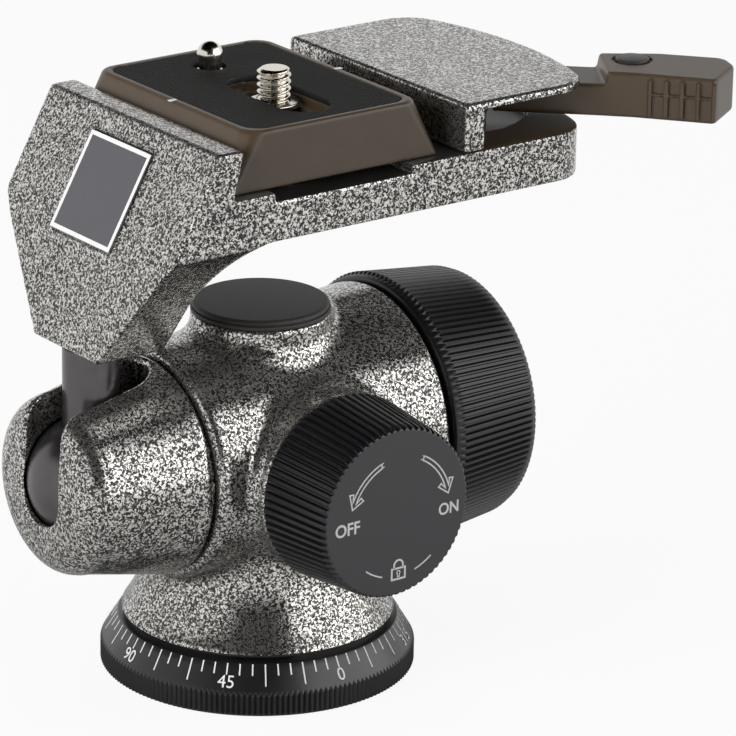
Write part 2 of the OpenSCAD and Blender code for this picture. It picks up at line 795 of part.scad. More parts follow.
// Brown-grey quick-release plate with sloped clamped sides
module plate() {
    color("#5f564d") difference() {
        intersection() {
            translate([0, plate_w + 1, 0]) rotate([90, 0, 0]) linear_extrude(2 * plate_w + 2)
                polygon([[plate_left, plate_z], [plate_right, plate_z],
                    [plate_right - plate_in, plate_top], [plate_left + plate_in, plate_top]]);
            translate([0, 0, plate_z - 1]) linear_extrude(plate_h + 2)
                round_box(plate_left - 0.01, plate_right + 0.01, plate_w, plate_round);
        }
        translate([0, 0, plate_top - pad_t]) linear_extrude(2) pad_plan(0);
        translate([plate_mid, 0, plate_z - 1]) linear_extrude(plate_h + 2) slot_plan(screw_r + 0.3);
        translate([plate_mid, 0, plate_top - recess_d]) linear_extrude(10) slot_plan(recess_r);
        translate([plate_mid, 0, plate_z - 1]) linear_extrude(head_t + 1.8)
            slot_plan(head_r + free_gap);
        translate([plate_mid, pin_y, 0]) disc(pin_r + run_gap, plate_z - 1, plate_top + 1);
        translate([plate_mid, pin_y, 0]) disc(pin_r + pin_collar + free_gap, plate_z + 1.4, plate_top - 3);
    }
}

// Plan of the pad recess, with a gap all round
module pad_plan(gap) {
    round_box(plate_left + plate_in + pad_rim + gap, plate_right - plate_in - pad_rim - gap,
        plate_w - 2 - gap, pad_round);
}

// A slot along Y that the camera screw slides in
module slot_plan(r) {
    translate([-r, slot_y - slot_reach]) square([2 * r, 2 * slot_reach]);
    for (y = [-slot_reach, slot_reach]) translate([0, slot_y + y]) circle(r);
}

// Black ribbed rubber pad
module plate_pad() {
    color("#202020") translate([0, 0, plate_top - pad_t]) linear_extrude(pad_t) difference() {
        pad_plan(fit_gap);
        translate([plate_mid, 0]) slot_plan(recess_r);
        translate([plate_mid, pin_y]) circle(pin_r + 0.7);
    }
}

// Sliding washer that holds the camera screw in its slot
module screw_clip() {
    color("#b9bbbe") translate([plate_mid, screw_y, 0])
        tube(recess_r - free_gap, screw_r + run_gap, plate_top - recess_d + 0.1,
            plate_top - recess_d + 1.1);
}

// Nickel camera screw with its coin-slot head in the underside
module camera_screw() {
    color("#c9c8c4") translate([plate_mid, screw_y, 0]) difference() {
        union() {
            disc(head_r, plate_z + 0.4, plate_z + 0.4 + head_t);
            disc(screw_r - 0.2, plate_z + head_t, plate_top);
            disc(screw_r, plate_top, plate_top + screw_up);
        }
        translate([-head_r - 1, -0.7, plate_z]) cube([2 * head_r + 2, 1.4, 1.8]);
    }
}

// Spring-loaded pin that stops the camera from turning
module twist_pin() {
    color("#c9c8c4") translate([plate_mid, pin_y, 0]) union() {
        disc(pin_r, plate_z + 2.6, plate_top + pin_up - pin_r);
        translate([0, 0, plate_top + pin_up - pin_r]) sphere(pin_r);
        disc(pin_r + pin_collar, plate_top - 4.2, plate_top - 3.2);
    }
}

// Spring under the pin's collar, drawn as its sleeve
module pin_spring() {
    color("#9a9da1") translate([plate_mid, pin_y, 0])
        tube(pin_r + pin_collar + 0.1, pin_r + 0.3, plate_z + 1.5, plate_z + 2.4);
}

base_ring();
spindle();
base_screws();
pan_washer();
body_shell();
lower_bush();
upper_bush();
spindle_washer();
spindle_nut();
top_cap();
pan_shoe();
pan_stud();
pan_knob();
pan_knob_face();
piston();
ball_seat();
lock_screw();
rear_plate();
rear_screws();
thrust_washer();
lock_knob();
lock_knob_cap();
collar();
collar_clip();
ball();
stem();
stem_grub_screw();
platform();
badge();
cover();
cover_screws();
lever_pin();
lever();
lever_cam();
lever_button();
button_spring();
plate();
plate_pad();
screw_clip();
camera_screw();
twist_pin();
pin_spring();
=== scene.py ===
import json
import math

import bpy
import numpy as np
import openvdb
from mathutils import Matrix, Vector

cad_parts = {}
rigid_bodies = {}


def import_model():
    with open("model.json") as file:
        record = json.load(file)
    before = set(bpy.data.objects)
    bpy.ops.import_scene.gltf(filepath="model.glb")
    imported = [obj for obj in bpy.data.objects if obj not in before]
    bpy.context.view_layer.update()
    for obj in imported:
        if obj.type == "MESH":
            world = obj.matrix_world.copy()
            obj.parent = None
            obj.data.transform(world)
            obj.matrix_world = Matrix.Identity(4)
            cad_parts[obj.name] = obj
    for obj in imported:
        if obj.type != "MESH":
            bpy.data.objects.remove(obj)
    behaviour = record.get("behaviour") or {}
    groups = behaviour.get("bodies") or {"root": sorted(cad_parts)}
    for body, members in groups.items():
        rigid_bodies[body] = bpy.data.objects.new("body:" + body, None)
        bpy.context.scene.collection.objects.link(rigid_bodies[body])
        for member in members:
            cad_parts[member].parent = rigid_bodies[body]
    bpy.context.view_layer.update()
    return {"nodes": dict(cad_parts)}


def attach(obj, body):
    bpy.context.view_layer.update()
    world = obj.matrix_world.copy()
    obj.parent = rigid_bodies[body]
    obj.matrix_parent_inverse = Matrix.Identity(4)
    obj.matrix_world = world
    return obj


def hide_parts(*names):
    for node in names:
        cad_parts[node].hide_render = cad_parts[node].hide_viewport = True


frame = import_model()

# Camera
# A long lens from the front left, a little above the platform. Its place and focal length come from
# the ellipses and the degree marks of the dial in the photograph, taken as 736 pixels square.
MM = 0.001
PHOTO_PX = 736
focal_px = 4958
camera_at = Vector((-510.04, -711.78, 373.09)) * MM
turn, drop, roll = (math.radians(a) for a in (-36.95, 19.75, 1.025))
level_right = Vector((math.cos(turn), math.sin(turn), 0))
backward = Vector((math.sin(turn) * math.cos(drop), -math.cos(turn) * math.cos(drop), math.sin(drop)))
level_up = backward.cross(level_right)
right = math.cos(roll) * level_right + math.sin(roll) * level_up
up = math.cos(roll) * level_up - math.sin(roll) * level_right
camera = bpy.data.objects.new("camera", bpy.data.cameras.new("camera"))
camera.matrix_world = Matrix.Translation(camera_at) @ Matrix((right, up, backward)).transposed().to_4x4()
camera.data.sensor_width = 36
camera.data.lens = focal_px / PHOTO_PX * camera.data.sensor_width
bpy.context.scene.collection.objects.link(camera)
bpy.context.scene.camera = camera
bpy.context.scene.view_settings.view_transform = "Standard"


# Floor and studio light
# A white sweep under soft boxes at the right front, the left and overhead. The lens and the gloss see
# it white, and it keeps a soft shadow. A black card at the lens and a black ceiling, which the lens
# doesn't see, give the gloss its dark parts.
def srgb(text):
    """A hex colour as linear red, green, blue and alpha."""
    parts = [int(text[i:i + 2], 16) / 255 for i in (1, 3, 5)]
    return [c / 12.92 if c <= 0.04045 else ((c + 0.055) / 1.055) ** 2.4 for c in parts] + [1]


def add(tree, kind, links=(), **settings):
    """Adds a node with its settings; links gives its sockets values, or other nodes' outputs."""
    made = tree.nodes.new("ShaderNode" + kind)
    for key, value in settings.items():
        setattr(made, key, value)
    for key, value in dict(links).items():
        if isinstance(value, bpy.types.NodeSocket):
            tree.links.new(value, made.inputs[key])
        else:
            made.inputs[key].default_value = value
    return made


def empty_tree(owner):
    """The node tree of a new material or world, with nothing in it."""
    owner.use_nodes = True
    owner.node_tree.nodes.clear()
    return owner.node_tree


def seen_straight(tree, mirrored=1.0):
    """1 for rays from the lens, mirrored for those by way of gloss or glass, 0 for light that spreads."""
    path = add(tree, "LightPath")
    bent = add(tree, "Math", {0: path.outputs["Is Glossy Ray"], 1: path.outputs["Is Transmission Ray"]},
               operation="MAXIMUM")
    bent = add(tree, "Math", {0: bent.outputs[0], 1: mirrored}, operation="MULTIPLY")
    return add(tree, "Math", {0: path.outputs["Is Camera Ray"], 1: bent.outputs[0]},
               operation="MAXIMUM").outputs[0]


FLOOR_SIZE = 8.0
FLOOR_GAP = 0.0001
FILL_LIGHT = 0.03
SHOWN_WHITE = 0.92
SHADED_R, OPEN_R = 0.07, 0.18
AIM = Vector((0, 0, 0.06))

bpy.context.scene.world = bpy.data.worlds.new("studio")
sky = empty_tree(bpy.context.scene.world)
lit = add(sky, "Background", {"Color": srgb("#ffffff"), "Strength": FILL_LIGHT})
shown = add(sky, "Background", {"Color": srgb("#ffffff"), "Strength": 1.0})
both = add(sky, "MixShader", {0: seen_straight(sky), 1: lit.outputs[0], 2: shown.outputs[0]})
add(sky, "OutputWorld", {"Surface": both.outputs[0]})

sweep = bpy.data.materials.new("white_sweep")
tree = empty_tree(sweep)
spread = add(tree, "LightPath").outputs["Is Diffuse Ray"]
tint = add(tree, "Mix", {"Factor": spread, 6: srgb("#f2f2f2"), 7: srgb("#262626")}, data_type="RGBA")
matt = add(tree, "BsdfDiffuse", {"Color": tint.outputs[2]})
glow = add(tree, "Emission", {"Color": srgb("#ffffff"), "Strength": 1.0})
# Close under the object, gloss sees the paper as it is lit, with the object's shadow on it
from_middle = add(tree, "VectorMath", {0: add(tree, "TexCoord").outputs["Object"]}, operation="LENGTH")
open_paper = add(tree, "MapRange", {"Value": from_middle.outputs["Value"], "From Min": SHADED_R,
                                    "From Max": OPEN_R})
share = add(tree, "Math", {0: seen_straight(tree, open_paper.outputs[0]), 1: SHOWN_WHITE},
            operation="MULTIPLY")
paper = add(tree, "MixShader", {0: share.outputs[0], 1: matt.outputs[0], 2: glow.outputs[0]})
add(tree, "OutputMaterial", {"Surface": paper.outputs[0]})


def flat_card(name, width, height, place, finish):
    """A flat rectangle about a place, in metres, with the given finish."""
    mesh = bpy.data.meshes.new(name)
    corners = [(-width / 2, -height / 2, 0), (width / 2, -height / 2, 0), (width / 2, height / 2, 0),
               (-width / 2, height / 2, 0)]
    mesh.from_pydata(corners, [], [(0, 1, 2, 3)])
    mesh.materials.append(finish)
    card = bpy.data.objects.new(name, mesh)
    card.location = place
    bpy.context.scene.collection.objects.link(card)
    return card


flat_card("floor", FLOOR_SIZE, FLOOR_SIZE, (0, 0, -FLOOR_GAP), sweep)

velvet = bpy.data.materials.new("black_velvet")
tree = empty_tree(velvet)
nap = add(tree, "BsdfDiffuse", {"Color": srgb("#101010")})
add(tree, "OutputMaterial", {"Surface": nap.outputs[0]})
# Each card: name, width and height, place, and the way its back points, in metres
for name, wide, high, place, way in (
        ("card_behind_lens", 1.8, 1.6, (-0.744, -1.238, 0.956), (-0.515, -0.857, 0.62)),
        ("card_ceiling", 5.2, 3.7, (0.0, 0.75, 1.66), (0.0, 0.0, 1.0))):
    card = flat_card(name, wide, high, place, velvet)
    card.rotation_euler = Vector(way).to_track_quat("Z", "Y").to_euler()
    card.visible_camera = card.visible_diffuse = card.visible_shadow = False

# Each soft box: name, direction from the object, distance, width and height in metres, watts, and
# whether gloss mirrors it
for name, way, far, wide, high, watts, mirrored in (
        ("box_right_front", (0.55, -0.79, 0.30), 1.5, 2.6, 1.6, 18, True),
        ("box_left", (-0.97, -0.12, 0.20), 1.3, 1.0, 1.0, 21, False),
        ("box_overhead", (0.0, 0.1, 1.0), 1.3, 1.0, 0.9, 5, False)):
    lamp = bpy.data.lights.new(name, "AREA")
    lamp.shape = "RECTANGLE"
    lamp.size, lamp.size_y, lamp.energy = wide, high, watts
    box = bpy.data.objects.new(name, lamp)
    box.location = AIM + Vector(way).normalized() * far
    box.rotation_euler = Vector(way).to_track_quat("Z", "Y").to_euler()
    bpy.context.scene.collection.objects.link(box)
    box.visible_glossy = mirrored


# Dial ring
# Turned from aluminium and anodised black. A straight V knurl is rolled into its lower band and runs
# out in points on the slope above, which carries the degree scale, engraved and filled with white.
RING_R, RING_TOP_R = 30.0, 26.7
BAND_TOP, RING_TOP = 4.2, 9.6
SEAT_R, SEAT_Z, FOOT_R = 15.02, 5.0, 9.02
TEETH, TOOTH_STEPS, TOOTH_DEPTH = 180, 6, 0.5


def new_finish(name, constants):
    """A material whose shader has these constants; returns it with its node tree and shader."""
    made = bpy.data.materials.new(name)
    made.use_nodes = True
    shader = made.node_tree.nodes["Principled BSDF"]
    for key, value in constants.items():
        shader.inputs[key].default_value = value
    return made, made.node_tree, shader


def mottled(name, constants, grain, detail, dark, light, gloss=None, bump=None):
    """A finish that wanders between two colours in patches of about grain millimetres. Its roughness
    goes with them between the two of gloss, its relief by the strength and millimetres of bump."""
    made, tree, shader = new_finish(name, constants)
    place = add(tree, "TexCoord").outputs["Object"]
    cloud = add(tree, "TexNoise", {"Vector": place, "Scale": 1 / (grain * MM), "Detail": detail})
    cloud = cloud.outputs["Fac"]
    tone = add(tree, "Mix", {"Factor": cloud, 6: srgb(dark), 7: srgb(light)}, data_type="RGBA")
    tree.links.new(tone.outputs[2], shader.inputs["Base Color"])
    if gloss:
        rough = add(tree, "MapRange", {"Value": cloud, "To Min": gloss[0], "To Max": gloss[1]})
        tree.links.new(rough.outputs[0], shader.inputs["Roughness"])
    if bump:
        relief = add(tree, "Bump", {"Height": cloud, "Strength": bump[0], "Distance": bump[1] * MM})
        tree.links.new(relief.outputs[0], shader.inputs["Normal"])
    return made


# Black anodised aluminium, fine turned: deep black, satin, with the faint rings of the lathe tool.
# The rings are drawn 0.25 mm apart, coarser than they are, so that they show.
anodised = mottled("black_anodised_aluminium",
                   {"Metallic": 0.0, "IOR": 1.5, "Coat Weight": 0.25, "Coat Roughness": 0.22},
                   6, 4, "#141415", "#202022", gloss=(0.30, 0.42))
tree = anodised.node_tree
place = add(tree, "TexCoord").outputs["Object"]
rings = add(tree, "TexWave", {"Vector": place, "Scale": 2 * math.pi / (0.25 * MM) / 20, "Distortion": 2.0},
            wave_type="BANDS", bands_direction="Z")
relief = add(tree, "Bump", {"Height": rings.outputs["Fac"], "Strength": 0.04, "Distance": 0.02 * MM})
tree.links.new(relief.outputs[0], tree.nodes["Principled BSDF"].inputs["Normal"])


def band_faces(rows, columns, first=0, closed=False):
    """Quads between rings of points that follow each other, each ring closed on itself."""
    quads = []
    for row in range(rows if closed else rows - 1):
        low, high = first + row * columns, first + (row + 1) % rows * columns
        for i in range(columns):
            j = (i + 1) % columns
            quads.append((low + i, low + j, high + j, high + i))
    return quads


def piece(name, points, faces, finish, body, node=None, slot=None, sharp=35):
    """A mesh piece from points in millimetres, riding on a body and standing for a CAD node."""
    mesh = bpy.data.meshes.new(name)
    mesh.from_pydata((np.asarray(points, float) * MM).tolist(), [], [list(f) for f in faces])
    mesh.validate()
    mesh.materials.append(finish)
    mesh.shade_smooth()
    mesh.set_sharp_from_angle(angle=math.radians(sharp))
    made = bpy.data.objects.new(name, mesh)
    bpy.context.scene.collection.objects.link(made)
    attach(made, body)
    if node:
        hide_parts(node)
    return made


def full_turn(steps):
    """Angles in even steps round a circle."""
    return np.arange(steps) * 2 * math.pi / steps


def stacked(rims, angle):
    """Points of rings about Z, one for each radius and height; a radius may vary round its ring."""
    return np.concatenate([np.stack([r * np.cos(angle), r * np.sin(angle), np.full_like(angle, z)], 1)
                           for r, z in rims])


around = full_turn(TEETH * TOOTH_STEPS)
groove = np.abs((around * TEETH / (2 * math.pi)) % 1 - 0.5) * 2
slope_rows = np.concatenate([[0.4, 2.2], np.linspace(4.0, 5.6, 17), np.linspace(6, RING_TOP - 0.25, 5)])
rims = []
for z in slope_rows:
    cone = RING_R - (z - BAND_TOP) * (RING_R - RING_TOP_R) / (RING_TOP - BAND_TOP)
    rims.append((np.minimum(RING_R - TOOTH_DEPTH * groove, cone), z))
rims += [(RING_TOP_R - 0.1, RING_TOP - 0.05), (RING_TOP_R - 0.5, RING_TOP), (SEAT_R, RING_TOP),
         (SEAT_R, SEAT_Z), (FOOT_R, SEAT_Z), (FOOT_R, 0), (RING_R - 0.9, 0)]
piece("dial_ring", stacked(rims, around), band_faces(len(rims), len(around), closed=True), anodised, "base",
      "base_ring", "dial", sharp=28)

# Degree scale
# White paint in the engraving: a short mark each 5 degrees, a long one each 15, and a number with a
# short mark each 45. The degrees count clockwise from above.
ZERO_AT = math.radians(-92.3)
SCALE_LOW = (29.6, 5.03)
MARK_W = 0.26
MARK_TOP, SHORT_END, LONG_END = 0.03, 0.43, 0.8
NUMBER_H, NUMBER_MID, NUMBER_NARROW = 2.4, 0.67, 0.97
PAINT_LIFT = 0.03

# White enamel paint wiped into engraving: matt, a little uneven.
paint = mottled("white_fill_paint", {"Roughness": 0.6, "IOR": 1.5}, 0.4, 3, "#f0efec", "#ffffff")

scale_fall = math.hypot(SCALE_LOW[0] - RING_TOP_R, RING_TOP - SCALE_LOW[1])
scale_out = np.array([(RING_TOP - SCALE_LOW[1]), (SCALE_LOW[0] - RING_TOP_R)]) / scale_fall


def on_scale(angle, along, down, lift):
    """A point on the sloped scale: mm along the arc, share of the slope down, mm off the face."""
    r = RING_TOP_R + (SCALE_LOW[0] - RING_TOP_R) * down + lift * scale_out[0]
    z = RING_TOP + (SCALE_LOW[1] - RING_TOP) * down + lift * scale_out[1]
    a = angle + along / r
    return np.stack([r * np.cos(a), r * np.sin(a), z + 0 * a], -1)


def lettering(text, height, bold=0.0):
    """Flat points and solid faces of a word, centred, with its capitals this high; z is 0 or 1."""
    curve = bpy.data.curves.new(text, "FONT")
    curve.body = text
    curve.offset = bold
    curve.extrude = 0.5
    maker = bpy.data.objects.new(text, curve)
    bpy.context.scene.collection.objects.link(maker)
    bpy.context.view_layer.update()
    mesh = bpy.data.meshes.new_from_object(maker)
    flat = np.array([v.co for v in mesh.vertices])
    shapes = [tuple(f.vertices) for f in mesh.polygons]
    for made, home in ((maker, bpy.data.objects), (mesh, bpy.data.meshes), (curve, bpy.data.curves)):
        home.remove(made)
    low, high = flat.min(0), flat.max(0)
    flat[:, :2] = (flat[:, :2] - (low[:2] + high[:2]) / 2) * height / (high[1] - low[1])
    flat[:, 2] += 0.5
    return flat, shapes


def together(parts):
    """Several lots of points and faces as one."""
    faces, first = [], 0
    for points, shapes in parts:
        faces += [tuple(first + i for i in shape) for shape in shapes]
        first += len(points)
    return np.concatenate([points for points, _ in parts]), faces


BOX_FACES = [(0, 2, 3, 1), (4, 5, 7, 6), (0, 1, 5, 4), (2, 6, 7, 3), (0, 4, 6, 2), (1, 3, 7, 5)]
parts = []
for degree in range(0, 360, 5):
    angle = ZERO_AT - math.radians(degree)
    end = LONG_END if degree % 15 == 0 and degree % 45 else SHORT_END
    parts.append((np.array([on_scale(angle, side, down, lift)
                            for lift in (-PAINT_LIFT, PAINT_LIFT) for down in (MARK_TOP, end)
                            for side in (-MARK_W / 2, MARK_W / 2)]), BOX_FACES))
    if degree % 45 == 0:
        flat, shapes = lettering(str(degree), NUMBER_H)
        parts.append((on_scale(angle, flat[:, 0] * NUMBER_NARROW, NUMBER_MID - flat[:, 1] / scale_fall,
                               (2 * flat[:, 2] - 1) * PAINT_LIFT), shapes))
piece("degree_scale", *together(parts), paint, "base", slot="dial")

# Slide washer
# A ring of glossy black polymer between dial and body. Only its edge shows, as a dark groove.
slick = mottled("black_slide_polymer", {"Roughness": 0.14, "IOR": 1.5}, 3, 3, "#050505", "#0c0c0c")


def dress(finish, *nodes):
    """Gives CAD nodes that keep their own shape a finish."""
    for name in nodes:
        made = frame["nodes"][name]
        if not made.material_slots:
            made.data.materials.append(finish)
        for slot in made.material_slots:
            slot.material = finish


dress(slick, "pan_washer")

# Spindle, its nut and washers, and the inner steel
# Turned steel that hardly shows: the spindle's foot with the tripod thread, the nut under the cap,
# the lock screws, the pin of the lever and its cam. The tool marks are drawn 0.2 mm apart.
steel = mottled("turned_steel", {"Metallic": 1.0}, 0.2, 2, "#8f9194", "#b9bbbd", gloss=(0.25, 0.4))
dress(steel, "spindle", "spindle_washer", "spindle_nut", "pan_stud", "lock_screw", "lever_pin", "lever_cam",
      "collar_clip", "button_spring", "pin_spring")

# Blackened screws
# Oil-blackened steel: near black with a brownish oil sheen.
blackened = mottled("blackened_steel", {"Metallic": 0.7}, 1.5, 4, "#1c1b1a", "#34322f", gloss=(0.3, 0.5))
dress(blackened, "base_screws", "rear_screws", "cover_screws", "stem_grub_screw")

# Bushes, shoe, seat and thrust washer
# Turned bronze, warm and a little dull, hidden inside the head.
bronze = mottled("turned_bronze", {"Metallic": 1.0}, 1.2, 5, "#8a6534", "#c09a58", gloss=(0.25, 0.45))
dress(bronze, "lower_bush", "upper_bush", "thrust_washer", "pan_shoe", "ball_seat")

# Piston and rear plate
# Machined aluminium, left bare, with fine tool marks.
bare = mottled("machined_aluminium", {"Metallic": 1.0}, 0.5, 3, "#8d8e8f", "#a9aaab", gloss=(0.3, 0.45))
dress(bare, "piston", "rear_plate")

# Body
# A sand-cast aluminium body: the lying barrel, the column on its flared skirt, the boss under the
# cap and the boss of the pan lock run into each other in soft fillets. All of it is stoved with
# hammertone enamel.
AXIS_Z = 44.6
SEAM_X, BARREL_END = -24.0, 26.2
SEAM_R, REAR_R = 22.1, 25.3
SKIRT_Z, SKIRT_H, SKIRT_R = 10.6, 0.5, 26.0
COLUMN_R, FLARE_H = 20.6, 17.0
BOSS_R, BOSS_TOP = 13.2, 70.2
LOCK_Z, LOCK_R, LOCK_Y = 43.2, 17.0, 25.4
BORE_R, BUSH_R, NUT_R, NUT_DEEP, STUD_R = 15.15, 9.02, 9.5, 4, 4.05
SPIGOT_R, SPIGOT_END = 19.05, -18.4
CLIP_R, CLIP_IN, CLIP_HALF = 20.4, 3.1, 1.1
REAR_PLATE_R, REAR_PLATE_X = 21.02, 20.6
BODY_STEP = 0.45

# Hammertone enamel: aluminium flake floats in a dark lacquer and draws together into bright specks and
# short veins, about half a millimetre apart, in a hard gloss with shallow dimples.
SPECK = 0.46 * MM
enamel, tree, shader = new_finish("hammertone_enamel", {
    "IOR": 1.5, "Specular IOR Level": 0.2, "Coat Weight": 0.1, "Coat Roughness": 0.25})
place = add(tree, "TexCoord").outputs["Object"]
swirl = add(tree, "TexNoise", {"Vector": place, "Scale": 1 / SPECK, "Detail": 1.5, "Roughness": 0.6,
                               "Distortion": 0.8})
speck = add(tree, "MapRange", {"Value": swirl.outputs["Fac"], "From Min": 0.45, "From Max": 0.61},
            interpolation_type="SMOOTHSTEP")
shade = add(tree, "TexNoise", {"Vector": place, "Scale": 1 / (2.5 * MM), "Detail": 3})
dark = add(tree, "Mix", {"Factor": shade.outputs["Fac"], 6: srgb("#2c2a29"), 7: srgb("#3d3b39")},
           data_type="RGBA")
tone = add(tree, "Mix", {"Factor": speck.outputs[0], 6: dark.outputs[2], 7: srgb("#dad8d3")},
           data_type="RGBA")
tree.links.new(tone.outputs[2], shader.inputs["Base Color"])
flake = add(tree, "MapRange", {"Value": speck.outputs[0], "To Min": 0.45, "To Max": 0.97})
tree.links.new(flake.outputs[0], shader.inputs["Metallic"])
gloss = add(tree, "MapRange", {"Value": speck.outputs[0], "To Min": 0.15, "To Max": 0.23})
tree.links.new(gloss.outputs[0], shader.inputs["Roughness"])
relief = add(tree, "Bump", {"Height": swirl.outputs["Fac"], "Strength": 0.24, "Distance": 0.1 * MM})
tree.links.new(relief.outputs[0], shader.inputs["Normal"])


def off_axis(a, b):
    """Distance from an axis, by the offsets across it."""
    return np.sqrt(a * a + b * b)


def join(a, b, r):
    """Union of two distance fields with a fillet of about r."""
    h = np.clip(r - np.abs(a - b), 0, None) / r
    return np.minimum(a, b) - h * h * r / 4


def meet(a, b, r):
    """Intersection of two distance fields with an edge rounded by about r; -b cuts b away."""
    return -join(-a, -b, r)


def cut(whole, holes, r):
    """Takes holes out of a distance field, with edges rounded by about r."""
    for hole in holes:
        whole = meet(whole, -hole, r)
    return whole


def carve(name, field, low, high, step, *home, **kind):
    """The closed surface where field(x, y, z) is zero, between two corners, all in millimetres."""
    low, high = np.array(low, float), np.array(high, float)
    count = np.ceil((high - low) / step).astype(int) + 1
    x, y, z = (low[i] + step * np.arange(count[i]) for i in range(3))
    values = np.broadcast_to(field(x[:, None, None], y[None, :, None], z[None, None, :]), count)
    grid = openvdb.FloatGrid(4 * step)
    grid.copyFromArray(np.ascontiguousarray(np.clip(values, -4 * step, 4 * step), dtype=np.float32))
    points, quads = grid.convertToQuads(0.0)
    points = low + step * points.astype(float)
    nudge = 0.02
    for _ in range(4):
        here = field(*points.T)
        pull = np.stack([field(*(points + nudge * way).T) - field(*(points - nudge * way).T)
                         for way in np.eye(3)], 1) / (2 * nudge)
        move = -(here / np.maximum((pull * pull).sum(1), 0.2))[:, None] * pull
        points += np.clip(move, -step / 3, step / 3)
    a, b, c = points[quads[:, 0]], points[quads[:, 1]], points[quads[:, 2]]
    if (np.cross(b - a, c - a) * a).sum() < 0:
        quads = quads[:, ::-1]
    return piece(name, points, quads.tolist(), *home, **kind)


flare_in = SKIRT_R - COLUMN_R
flare_r = (flare_in ** 2 + FLARE_H ** 2) / (2 * flare_in)
barrel_lean = (REAR_R - SEAM_R) / (BARREL_END - SEAM_X)


def body_field(x, y, z):
    from_pan, from_axis, from_lock = off_axis(x, y), off_axis(y, z - AXIS_Z), off_axis(x, z - LOCK_Z)
    rise = np.clip(SKIRT_Z + SKIRT_H + FLARE_H - z, 0, FLARE_H)
    wall = COLUMN_R + flare_r - np.sqrt(flare_r ** 2 - rise ** 2)
    barrel = from_axis - SEAM_R - barrel_lean * (x - SEAM_X)
    barrel = meet(meet(barrel, x - BARREL_END, 1.0), SEAM_X - x, 2.0)
    column = meet(meet((from_pan - wall) * 0.85, SKIRT_Z - z, 0.5), z - AXIS_Z, 0.5)
    boss = meet(meet(from_pan - BOSS_R, z - BOSS_TOP, 0.8), AXIS_Z - z, 0.5)
    lock = meet(meet(from_lock - LOCK_R, -y - LOCK_Y, 0.8), y, 0.5)
    whole = join(join(join(barrel, column, 2.5), boss, 3), lock, 2.5)
    whole = meet(whole, SKIRT_Z - z, 0.5)
    holes = (np.maximum(from_axis - BORE_R, x - REAR_PLATE_X - 1),
             np.maximum(from_axis - SPIGOT_R, x - SPIGOT_END),
             np.maximum(from_axis - CLIP_R, np.abs(x - SEAM_X - CLIP_IN) - CLIP_HALF),
             np.maximum(from_axis - REAR_PLATE_R, REAR_PLATE_X - x),
             np.maximum(from_pan - BUSH_R, z - BOSS_TOP - 1),
             np.maximum(from_pan - NUT_R, BOSS_TOP - NUT_DEEP - z), np.maximum(from_lock - STUD_R, y))
    return cut(whole, holes, 0.2)


carve("body_casting", body_field, (-31, -31, 9), (31, 31, 72), BODY_STEP, enamel, "body", "body_shell",
      "enamel")

# Top cap
# A pressed-in cap of black polymer, spark-eroded to a fine matt grain: a flat disc with a rounded
# edge on a slightly wider ring, with a shadow line between them.
CAP_R, CAP_TOP = 13.2, 72.3
CAP_LINE = 71.2
PLUG_R, PLUG_H = 9.3, 1.6


def rounded(points, radii, steps=6):
    """A closed or open outline whose inner corners are arcs of the given radii."""
    made = [np.array(points[0], float)]
    for before, corner, after, r in zip(points, points[1:], points[2:], radii):
        before, corner, after = (np.array(p, float) for p in (before, corner, after))
        a = (before - corner) / np.linalg.norm(before - corner)
        b = (after - corner) / np.linalg.norm(after - corner)
        half = math.acos(max(-1, min(1, float(a @ b)))) / 2
        if r <= 0:
            made.append(corner)
            continue
        reach = r / math.tan(half)
        centre = corner + (a + b) / np.linalg.norm(a + b) * r / math.sin(half)
        start, stop = corner + a * reach - centre, corner + b * reach - centre
        for t in np.linspace(0, 1, steps + 1):
            way = start * (1 - t) + stop * t
            made.append(centre + way / np.linalg.norm(way) * r)
    made.append(np.array(points[-1], float))
    return np.array(made)


def turned(profile, steps, at=(0, 0, 0)):
    """Points and faces of a solid turned about Z, from radius and height, and moved to a place. Its
    profile starts and ends on the axis."""
    mid = np.array(profile)[1:-1]
    rims = stacked(mid, full_turn(steps))
    ends = [[0, 0, profile[0][1]], [0, 0, profile[-1][1]]]
    first, last = len(rims), len(rims) + 1
    top = (len(mid) - 1) * steps
    faces = band_faces(len(mid), steps)
    faces += [((i + 1) % steps, i, first) for i in range(steps)]
    faces += [(top + i, top + (i + 1) % steps, last) for i in range(steps)]
    return np.concatenate([rims, ends]) + np.array(at), faces


# Eroded polymer: matt black with a grain of about 0.15 mm, drawn 0.3 mm so that it shows.
grained = mottled("eroded_black_polymer", {"Roughness": 0.55, "IOR": 1.5}, 0.3, 3, "#100f0f", "#454140",
                  bump=(0.35, 0.05))
profile = rounded([(0, BOSS_TOP - PLUG_H), (PLUG_R, BOSS_TOP - PLUG_H), (PLUG_R, BOSS_TOP),
                   (CAP_R, BOSS_TOP), (CAP_R, CAP_LINE - 0.15), (CAP_R - 0.5, CAP_LINE - 0.15),
                   (CAP_R - 0.5, CAP_LINE + 0.1), (CAP_R - 0.2, CAP_LINE + 0.1),
                   (CAP_R - 0.3, CAP_TOP - 0.2), (0, CAP_TOP)],
                  [0, 0, 0.25, 0.3, 0.1, 0.1, 0.2, 0.8])
piece("cap", *turned(profile, 144), grained, "body", "top_cap", "cap")

# Pan-lock knob
# Moulded in satin black polymer round a steel stud. Ribs run along its taper, five degrees apart, and
# end in small points at the face.
KNOB_BACK, KNOB_FACE = 26.0, 43.2
KNOB_R, KNOB_FACE_R = 18.0, 16.4
PAN_RIBS, LOCK_RIBS = 72, 120
RIB_STEPS = 10
RIB_DEPTH = 0.62

# Moulded polymer: satin black, its gloss broken by a fine spark grain.
moulded = mottled("satin_black_polymer", {"IOR": 1.5}, 0.35, 4, "#0b0b0d", "#141417", gloss=(0.30, 0.45),
                  bump=(0.12, 0.04))


